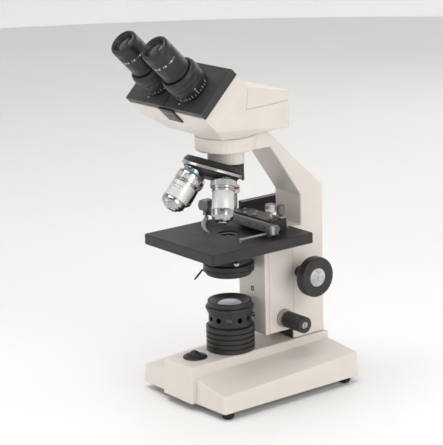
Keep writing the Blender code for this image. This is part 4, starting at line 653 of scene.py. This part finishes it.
for name, (x, y), radius, (z0, z1), teeth, gear, look in (
        ("x_knob", (25.0, 34.2), 5.3, (176.4, 184.4), 5.0, (161.7, 167.0), ALUMINIUM),
        ("y_knob", (29.5, 43.5), 3.9, (173.1, 182.5), 3.2, (156.9, 159.0), GUNMETAL)):
    shape = [(0, gear[0]), (teeth, gear[0]), (teeth, gear[1]), (1.8, gear[1]), (1.8, z0 - 1.4),
             (2.3, z0 - 1.0), (2.3, z0), (radius * 0.84, z0), (radius - 0.25, z0 + 0.4),
             (radius, z0 + 1.0), (radius, z0 + 1.2), (radius, z1 - 1.5), (radius, z1 - 1.3),
             (radius - 0.25, z1 - 0.5), (radius - 0.9, z1), (0, z1)]
    place(f"{name}_grip", turned(shape, 96, knurled(z0 + 1.1, z1 - 1.4)), look, name, at(x, y),
          replaces=[name])

BAR = "x_slide"
BAR_FRONT = 20.0
FACE_Y = BAR_FRONT - 0.4   # front of the bright strip on the bar
for k, x in enumerate((-13.0, -8.5, -3.2, 1.0)):
    place(f"bar_dot_{k}", socket_screw(1.0), BRASS, BAR, line_frame((x, FACE_Y, 164.9), (0, -1, 0)))
# the holes in the near-black SHADE material: painted shade inside them
for k, x in enumerate((10.0, 22.5, 32.0)):
    hole = turned([(0, -0.5), (1.5, -0.5), (1.5, 0.05), (1.1, 0.1), (1.1, -0.3), (0, -0.35)], 32)
    place(f"bar_hole_{k}", hole, SHADE, BAR, line_frame((x, FACE_Y, 164.4), (0, -1, 0)))
# painted light: the bar's front face in the lighter copy of the gunmetal
place("bar_face", box((-55.6, 48.3), (FACE_Y, BAR_FRONT + 0.2), (160.4, 168.3), 0.2), BAR_PAINTED_LIGHT, BAR)
bar_ticks = [box((-50 + k - 0.09, -50 + k + 0.09), (21.2, 21.2 + (2.4 if k % 5 == 0 else 1.4)),
                 (168.56, 168.63)) for k in range(0, 90)]
place("bar_scale", merged(*bar_ticks), WHITE, BAR)
place("bar_bracket", box((37.0, 44.4), (17.0, 19.5), (157.0, 166.8), 0.4), GUNMETAL, BAR)
place("bar_end_cap", box((44.6, 48.4), (16.7, 25.1), (159.9, 168.9), 0.5), SPRING, BAR)
place("bracket_screw", screw_head(1.3, 0.5), STEEL, BAR, line_frame((46.6, 16.7, 164.4), (0, -1, 0)))
spring = rod([(42.6, 16.9, 166.2), (41.4, 16.4, 163.8), (39.8, 16.2, 161.4), (38.8, 16.4, 160.2)], 0.4)
place("finger_spring", spring, STEEL, BAR)
arm_rod = merged(rod([(38.5, 18.0, 159.9), (38.5, -14.2, 159.9)], 1.2, 20),
                 box((37.2, 39.8), (-15.5, -13.2), (158.4, 161.3), 0.4),
                 rod([(38.5, -14.4, 159), (38.5, -14.4, 156.8)], 0.9, 16))
place("finger_rod", arm_rod, SPRING, BAR, replaces=["fixed_finger"])
place("end_chamfer", box((-65.4, -57.6), (18.3, 18.8), (174.4, 175.2), 0.15), SPRING, BAR)

CLIP_RADIUS, CLIP_STEPS = 105.0, 40
pivot, tip = Vector((-57.5, 17.2)), Vector((-12.5, -14.8))
chord = tip - pivot
rise = (CLIP_RADIUS ** 2 - (chord.length / 2) ** 2) ** 0.5
centre = (pivot + tip) / 2 + Vector((-chord.y, chord.x)).normalized() * rise
start = atan2(pivot.y - centre.y, pivot.x - centre.x) % (2 * pi)
finish = atan2(tip.y - centre.y, tip.x - centre.x) % (2 * pi)
steps = [k / CLIP_STEPS for k in range(CLIP_STEPS + 1)]
arc = [(start + (finish - start) * t, 2.6 - 1.8 * t ** 2) for t in steps]   # angle and half width
edge = [(centre.x + (CLIP_RADIUS + w) * cos(a), centre.y + (CLIP_RADIUS + w) * sin(a)) for a, w in arc]
edge += [(centre.x + (CLIP_RADIUS - w) * cos(a), centre.y + (CLIP_RADIUS - w) * sin(a))
         for a, w in reversed(arc)]
crescent = rounded(extruded(edge, SLIDE_Z, SLIDE_Z + 1.1), 0.25, 2)
hub = turned([(0, SLIDE_Z), (2.3, SLIDE_Z), (2.3, 159.4), (1.3, 159.9), (1.3, 165.2), (0, 165.6)], 32)
hub.transform(at(pivot.x, pivot.y))
place("clip_arm", merged(crescent, hub), SPRING, "slide_clip", replaces=["slide_clip"])


# ---- nosepiece and objectives ----

TILT = radians(21.5)
AXIS = Vector((0, -sin(TILT), -cos(TILT)))
APEX = Vector((0, 0, 268.0))
DOWN = line_frame(APEX, AXIS)
SEAT = 58.0
TURRET = "turret"

ring = [(26.7, 45.7), (29.0, 45.7), (29.5, 45.9), (29.9, 46.4), (29.9, 46.8), (29.9, 47.0), (29.9, 48.2),
        (29.9, 48.4), (29.8, 48.8), (29.3, 49.2), (26.7, 49.2)]
place("turret_band", turned(ring, 240, knurled(46.9, 48.3, 0.14, 3)), CHROME, TURRET, DOWN,
      replaces=["turret_ring"])


def objective_frame(quarter):
    spin = Matrix.Rotation(quarter * pi / 2, 3, AXIS)
    return line_frame(APEX, spin @ Vector((0, 0, -1)))


def objective(name, quarter, outline, knurl, tip_bore):
    """Chrome barrel of one objective, with a separate knurled grip: knurl is (low, high, radius)."""
    profile = [(4.2, SEAT - 2.5), (6.2, SEAT - 2.5), (6.2, SEAT)]
    profile += soften([(r, SEAT + h) for r, h in outline], 0.3)
    end = SEAT + outline[-1][1]
    profile += [(tip_bore, end), (tip_bore, end - 1.2), (4.2, SEAT + 6)]
    place(f"{name}_barrel", turned(profile, 128), CHROME, TURRET, objective_frame(quarter), replaces=[name])
    low, high, radius = SEAT + knurl[0], SEAT + knurl[1], knurl[2]
    grip = [(radius - 0.5, low), (radius, low), (radius + 0.12, low + 0.15), (radius + 0.12, low + 0.3),
            (radius + 0.12, high - 0.3), (radius + 0.12, high - 0.15), (radius, high), (radius - 0.5, high)]
    place(f"{name}_knurl", turned(grip, 200, knurled(low + 0.2, high - 0.2, 0.2)), NICKEL, TURRET,
          objective_frame(quarter))


def band(name, quarter, radius, low, high, material, proud=0.06):
    """Painted ring or fitted sleeve round an objective."""
    shape = [(radius - 0.4, SEAT + low), (radius + proud - 0.04, SEAT + low),
             (radius + proud, SEAT + low + 0.1), (radius + proud, SEAT + high - 0.1),
             (radius + proud - 0.04, SEAT + high), (radius - 0.4, SEAT + high)]
    place(name, turned(shape, 120), material, TURRET, objective_frame(quarter))


def marks(name, quarter, radius, rows, material, turn=0.0):
    """Short engraved dashes in rows round a sleeve: (height, length, first angle, step, count)."""
    shapes = []
    for height, length, first, step, count in rows:
        for k in range(count):
            a = radians(first + step * k) + turn
            dash = box((-0.03, 0.05), (-length / 2, length / 2), (-0.45, 0.45))
            dash.transform(Matrix.Rotation(a, 4, "Z") @ at(radius, 0, SEAT + height))
            shapes.append(dash)
    place(name, merged(*shapes), material, TURRET, objective_frame(quarter))


objective("objective_4x", 0, [(10.4, 0), (10.4, 2.4), (9.9, 2.5), (9.9, 3.3), (10.4, 3.4), (10.4, 5.6),
                              (12.6, 6.4), (12.6, 7.8), (12.6, 8.0), (12.6, 11.4), (12.6, 11.6),
                              (12.4, 12.2), (10.2, 13.4), (10.2, 27), (8.6, 29)], (7.9, 11.5, 12.6), 4.4)
band("objective_4x_ring", 0, 12.6, 6.3, 7.6, RED, 0.1)
objective("objective_10x", 3, [(10.4, 0), (10.4, 2.4), (9.9, 2.5), (9.9, 3.3), (10.4, 3.4), (10.4, 5.6),
                               (12.4, 6.4), (12.4, 8.8), (12.4, 9.0), (12.4, 13.4), (12.4, 13.6), (12.2, 15),
                               (10.9, 16), (10.9, 30), (10.5, 30.2), (10.5, 31), (10.9, 31.2), (10.9, 34),
                               (8.0, 37.4)], (8.9, 13.5, 12.4), 4.4)
band("objective_10x_ring", 3, 9.9, 2.55, 3.25, YELLOW, 0.3)
objective("objective_100x", 1, [(7.4, 0), (7.4, 1.2), (10.4, 1.4), (10.9, 2.2), (12.3, 2.8), (12.5, 3.4),
                                (12.5, 3.6), (12.5, 8.4), (12.5, 8.6), (12.3, 9.0), (11.2, 9.2), (11.2, 10.4),
                                (10.9, 10.6), (10.9, 11.0), (11.2, 11.2), (11.2, 13.0), (10.6, 13.3),
                                (10.6, 31.6), (10.7, 31.8), (10.7, 37.8), (10.2, 38.8), (8.3, 40.4),
                                (7.9, 41.4), (7.0, 42.2), (4.4, 43.8), (4.2, 44.6)], (3.5, 8.5, 12.5), 1.8)
band("objective_100x_sleeve", 1, 10.6, 13.7, 31.4, SATIN, 0.1)
objective("objective_40x", 2, [(9.6, 0), (9.6, 3.2), (9.3, 3.3), (9.3, 4.3), (9.9, 4.4), (10.9, 4.9),
                               (12.2, 5.6), (12.2, 8.2), (12.2, 8.4), (12.2, 13.2), (12.2, 13.4),
                               (12.2, 14.4), (11.7, 14.6), (11.7, 15.4), (12.0, 15.6), (11.9, 16.4),
                               (12.0, 34.4), (11.6, 34.6), (11.6, 35.2), (12.1, 35.4), (12.1, 38.6),
                               (10.9, 39.6), (10.4, 41.0), (8.2, 41.6), (7.8, 42.6), (6.4, 43.6),
                               (4.4, 44.3)], (8.3, 13.3, 12.2), 1.8)
band("objective_40x_ring", 2, 9.3, 3.35, 4.25, BLUE, 0.35)
band("objective_40x_sleeve", 2, 11.95, 17.0, 34.0, SATIN, 0.12)
marks("objective_40x_marks", 2, 12.07, [(22.0, 1.1, 40, 9, 7), (24.6, 0.7, 48, 9, 5)], GUNMETAL)
marks("objective_100x_marks", 1, 10.7, [(20.0, 1.1, 150, 10, 7), (22.6, 0.7, 160, 10, 5)], GUNMETAL)
for quarter, name, reach in ((0, "4x", 27.6), (1, "100x", 43.2), (2, "40x", 42.9), (3, "10x", 36.0)):
    radius = 4.3 if reach < 40 else 1.75
    front = [(0, SEAT + reach), (radius, SEAT + reach), (radius, SEAT + reach + 0.5),
             (radius * 0.6, SEAT + reach + 0.8), (0, SEAT + reach + 0.9)]
    place(f"objective_{name}_lens", turned(front, 40), LENS, TURRET, objective_frame(quarter))


# ---- head ----

HEAD = "head"
SLOPE = 26.4


def slope_point(along, depth):
    return (-49.5 + (along + depth) * cos(pi / 4), 306.6 + (along - depth) * sin(pi / 4))


def on_slope(x, along, depth):
    """Frame on the sloping face: X across, Y up the slope, Z out of it."""
    y, z = slope_point(along, depth)
    return at(x, y, z) @ Matrix.Rotation(radians(45), 4, "X")


tag = merged(box((-9.0, 12.5), (-1.35, -0.02), (-14.0, 4.7), 0.3))
tag_y, tag_z = slope_point(-SLOPE - 0.3, 0)
tag_frame = at(0, tag_y, tag_z) @ Matrix.Rotation(radians(45), 4, "X")
place("scale_plate", tag, DARK, HEAD, tag_frame, replaces=["spacing_scale"])
for k, x in enumerate((-8.3, 11.8)):
    place(f"scale_side_{k}", box((x - 0.12, x + 0.12), (-1.45, -1.3), (-12.9, 3.5)),
          GUNMETAL, HEAD, tag_frame)
for z0, x0, x1 in ((3.4, -8.2, 11.7), (-12.8, -8.2, 11.7)):
    place(f"scale_rule_{'top' if z0 > 0 else 'foot'}", box((x0, x1), (-1.45, -1.3), (z0 - 0.12, z0 + 0.12)),
          GUNMETAL, HEAD, tag_frame)
scale = [box((-7.0 + k * 1.5 - 0.12, -7.0 + k * 1.5 + 0.12), (-1.44, -1.3),
             (-2.2, 0.4 if k % 5 == 0 else -0.8)) for k in range(12)]
place("scale_ticks", merged(*scale), WHITE, HEAD, tag_frame)
place("scale_dot", turned([(0, -0.3), (0.7, -0.3), (0.75, 0.0), (0.5, 0.14), (0, 0.16)], 24), WHITE, HEAD,
      tag_frame @ line_frame((5.4, -1.35, -6.4), (0, -1, 0)))
place("body_screw", screw_head(1.2, 0.3), STEEL, HEAD, line_frame((-1.2, -53.9, 275.6), (0, -1, -0.35)))
for k, (x, y) in enumerate(((-24, 42), (24, 42))):
    place(f"cover_screw_{k}", socket_screw(1.9), DARK, HEAD, line_frame((x, 50.0, 292.5), (0, 1, 0)))
for k, x in enumerate((-30, 30)):
    place(f"head_screw_{k}", socket_screw(1.9), DARK, HEAD, line_frame((x, 50.0, 268.0), (0, 1, 0)))

EYE = Vector((0, -sin(pi / 4), cos(pi / 4)))
for side, sign in (("right", 1), ("left", -1)):
    origin = (sign * 24.75, *slope_point(-1.0, -8.0))
    frame_eye = line_frame(origin, EYE)
    plate_frame = on_slope(0, 0, -8.0)
    slide_body = f"slide_{side}"
    dot = turned([(0, -0.3), (0.85, -0.3), (0.9, 0.0), (0.6, 0.16), (0, 0.18)], 24)
    place(f"index_dot_{side}", dot, WHITE, slide_body, plate_frame @ at(sign * 24.75 - 3.0, -20.6, 0))
    lines = [box((sign * 24.75 + u - 0.1, sign * 24.75 + u + 0.1), (-25.9, -24.2), (-0.05, 0.02))
             for u in (-20, -10, 0, 10, 20)]
    place(f"plate_lip_{side}", box(tuple(sorted((sign * 0.3, sign * 1.7))), (-26.3, 26.3), (-0.3, 0.55), 0.2),
          DARK, slide_body, plate_frame)
    place(f"plate_ticks_{side}", merged(*lines), GUNMETAL, slide_body, plate_frame)
    for k, (u, v) in enumerate(((sign * 55.5, 22.3), (sign * 55.5, -22.3))):
        place(f"plate_screw_{side}_{k}", socket_screw(1.5), DARK, slide_body, plate_frame @ at(u, v, 0))

    def dial_grip(k, r, h):
        return r - (0.12 if k % 4 < 2 and 14.9 < h < 21.2 and r > 18 else 0)

    dial = [(11.9, 0.3), (16.3, 0.3), (17.2, 0.7), (17.6, 1.4), (17.6, 12.6), (17.5, 13.0), (17.1, 13.2),
            (17.1, 13.6), (17.8, 14.0), (18.3, 14.6), (18.4, 14.8), (18.4, 15.0), (18.4, 21.1),
            (18.4, 21.3), (18.3, 21.8), (17.4, 24.2), (16.9, 24.8), (16.2, 25.0), (15.3, 25.0),
            (14.7, 24.6), (14.5, 24.0), (14.5, 19.0), (11.9, 19.0)]
    place(f"dioptre_grip_{side}", turned(dial, 240, dial_grip), BLACK, f"dioptre_{side}", frame_eye,
          replaces=[f"dioptre_{side}"])
    dashes = []
    for k in range(-8, 9):
        angle = radians(-62 + 11 * k)
        length = 5.0 if k == 4 else 3.4 if k % 2 == 0 else 2.2
        dash = box((-0.1, 0.05), (-0.26, 0.26), (1.9, 1.9 + length))
        dash.transform(Matrix.Rotation(angle, 4, "Z") @ at(17.6))
        dashes.append(dash)
    for k, turn in ((4, 0), (4, 90), (-6, 0)):
        dash = box((-0.1, 0.05), (-1.2, 1.2), (-0.26, 0.26))
        dash.transform(Matrix.Rotation(radians(-62 + 11 * k), 4, "Z") @ at(17.6, 0, 8.6)
                       @ Matrix.Rotation(radians(turn), 4, "X"))
        dashes.append(dash)
    place(f"dioptre_ticks_{side}", merged(*dashes), WHITE, f"dioptre_{side}", frame_eye)

    rim = 61.5
    barrel = [(10.2, -6), (11.6, -6), (11.6, 23.5), (13.4, 23.6), (14.0, 24.0), (14.2, 24.6), (14.2, 27.4),
              (14.1, 27.7), (14.1, 28.2), (14.2, 28.5), (14.2, 52.6), (14.08, 52.9), (14.08, 53.3),
              (14.2, 53.8), (14.2, rim - 3.4), (14.0, rim - 2.0), (13.4, rim - 0.9), (12.6, rim - 0.2),
              (11.9, rim), (11.3, rim - 0.1), (11.0, rim - 0.5), (10.6, rim - 1.4), (10.3, rim - 1.5),
              (9.1, rim - 4.4), (8.8, rim - 4.7), (8.8, rim - 10), (7.4, rim - 10), (7.4, rim - 12),
              (10.2, rim - 14)]
    place(f"eyepiece_barrel_{side}", turned(barrel, 160), GRIP, f"eyepiece_{side}", frame_eye,
          replaces=[f"eyepiece_{side}"])
    glass = [(0, rim - 9.6), (8.6, rim - 9.6), (8.6, rim - 5.6)]
    glass += [(8.6 * cos(a), rim - 5.6 + 2.8 * sin(a)) for a in [radians(10 * k) for k in range(1, 9)]]
    place(f"eyepiece_glass_{side}", turned(glass + [(0, rim - 2.8)], 80), LENS, f"eyepiece_{side}",
          frame_eye, replaces=[f"eye_lens_{side}"], flat_above=25)
    engraved = []
    for k, (length, height) in enumerate(((1.6, 1.8), (0.5, 1.8), (1.6, 1.8), (0, 0), (0.5, 1.8), (1.6, 1.8),
                                          (0, 0), (1.6, 0.5), (1.6, 1.8), (0.5, 1.8), (1.6, 0.5))):
        if not length:
            continue
        dash = box((-0.1, 0.04), (-length / 2, length / 2), (-height / 2, height / 2))
        dash.transform(Matrix.Rotation(radians(-84 + 9.5 * k), 4, "Z") @ at(14.2, 0, 45.5))
        engraved.append(dash)
    place(f"eyepiece_marks_{side}", merged(*engraved), WHITE, f"eyepiece_{side}", frame_eye)


# ---- camera, light and floor ----

def camera_turn(azimuth, pitch, roll):
    a, p, r = radians(azimuth), radians(pitch), radians(roll)
    right = Vector((cos(a), sin(a), 0))
    ahead = Vector((-sin(a) * cos(p), cos(a) * cos(p), -sin(p)))
    up = right.cross(ahead)
    across = cos(r) * right + sin(r) * up
    above = -sin(r) * right + cos(r) * up
    return Matrix((across, above, -ahead)).transposed().to_4x4()


camera = bpy.data.objects.new("camera", bpy.data.cameras.new("camera"))
camera.data.sensor_width = 36.0
camera.data.lens = 143.64
camera.data.clip_start, camera.data.clip_end = 0.1, 20.0
bpy.context.scene.collection.objects.link(camera)
camera.matrix_world = (Matrix.Translation(OFFSET + Vector((1335.8, -1026.2, 609.75)) * MM)
                       @ camera_turn(52.67, 14.72, -1.55))
bpy.context.scene.camera = camera


def soft_light(name, place_at, aim, width, height, watts, colour=(1, 1, 1)):
    light = bpy.data.lights.new(name, "AREA")
    light.shape, light.size, light.size_y = "RECTANGLE", width, height
    light.energy, light.color = watts, colour
    thing = bpy.data.objects.new(name, light)
    thing.location = place_at
    thing.rotation_euler = (Vector(aim) - Vector(place_at)).to_track_quat("-Z", "Y").to_euler()
    bpy.context.scene.collection.objects.link(thing)


soft_light("top_softbox", (0.05, -0.25, 1.5), (0, 0, 0.1), 1.3, 1.1, 11.0, (1.0, 0.985, 0.965))
soft_light("front_softbox", (-0.75, -1.5, 0.7), (0, 0, 0.15), 1.0, 0.8, 3.6, (1.0, 0.985, 0.965))
soft_light("right_softbox", (1.6, 0.0, 0.75), (0, 0, 0.18), 0.9, 1.0, 7.4, (1.0, 0.985, 0.965))
soft_light("back_softbox", (-0.6, 1.5, 0.9), (0, 0, 0.15), 0.9, 0.8, 3.0)
sun = bpy.data.lights.new("even_light", "SUN")
sun.energy, sun.angle = 0.7, radians(50)
sun_thing = bpy.data.objects.new("even_light", sun)
sun_thing.rotation_euler = (radians(12), radians(-8), 0)
bpy.context.scene.collection.objects.link(sun_thing)

world = bpy.data.worlds.new("studio")
world.use_nodes = True
world.node_tree.nodes["Background"].inputs["Color"].default_value = (0.93, 0.94, 0.96, 1.0)
world.node_tree.nodes["Background"].inputs["Strength"].default_value = 0.05
bpy.context.scene.world = world
bpy.context.scene.view_settings.view_transform = "Standard"

floor_mesh = bpy.data.meshes.new("floor")
FLOOR_FLAT, FLOOR_CURVE, WALL_TOP = 2.6, 1.2, 4.0
sweep = [(0.0, 0.0)] + [(FLOOR_FLAT * k / 4, 0.0) for k in range(1, 5)]
sweep += [(FLOOR_FLAT + FLOOR_CURVE * sin(a), FLOOR_CURVE * (1 - cos(a)))
          for a in [radians(10 * k) for k in range(1, 10)]]
sweep += [(FLOOR_FLAT + FLOOR_CURVE, WALL_TOP)]
floor_bm = bmesh.new()
around = 72
circles = [[floor_bm.verts.new((0, 0, 0))]]
for radius, height in sweep[1:]:
    circles.append([floor_bm.verts.new((radius * cos(2 * pi * k / around), radius * sin(2 * pi * k / around),
                                        height)) for k in range(around)])
for inner, outer_circle in zip(circles, circles[1:]):
    for k in range(around):
        corners = [inner[k % len(inner)], outer_circle[k], outer_circle[(k + 1) % around],
                   inner[(k + 1) % len(inner)]]
        floor_bm.faces.new(list(dict.fromkeys(corners)))
floor_bm.to_mesh(floor_mesh)
floor_bm.free()
floor_mesh.polygons.foreach_set("use_smooth", [True] * len(floor_mesh.polygons))
floor = bpy.data.objects.new("floor", floor_mesh)
floor.location.z = -0.0002
bpy.context.scene.collection.objects.link(floor)
for polygon in floor_mesh.polygons:
    polygon.material_index = int(polygon.center.z > 0.001)
floor_mesh.materials.append(coated("pale_floor", (0.93, 0.93, 0.925), (0.91, 0.91, 0.905), 0.6, 60.0, 0.0001,
                                   patch=2.0))
wall = coated("pale_wall", (0.93, 0.93, 0.925), (0.91, 0.91, 0.905), 0.6, 60.0, 0.0001, patch=2.0)
wall.node_tree.nodes["Principled BSDF"].inputs["Emission Color"].default_value = (1.0, 0.995, 0.985, 1.0)
wall.node_tree.nodes["Principled BSDF"].inputs["Emission Strength"].default_value = 0.2
floor_mesh.materials.append(wall)
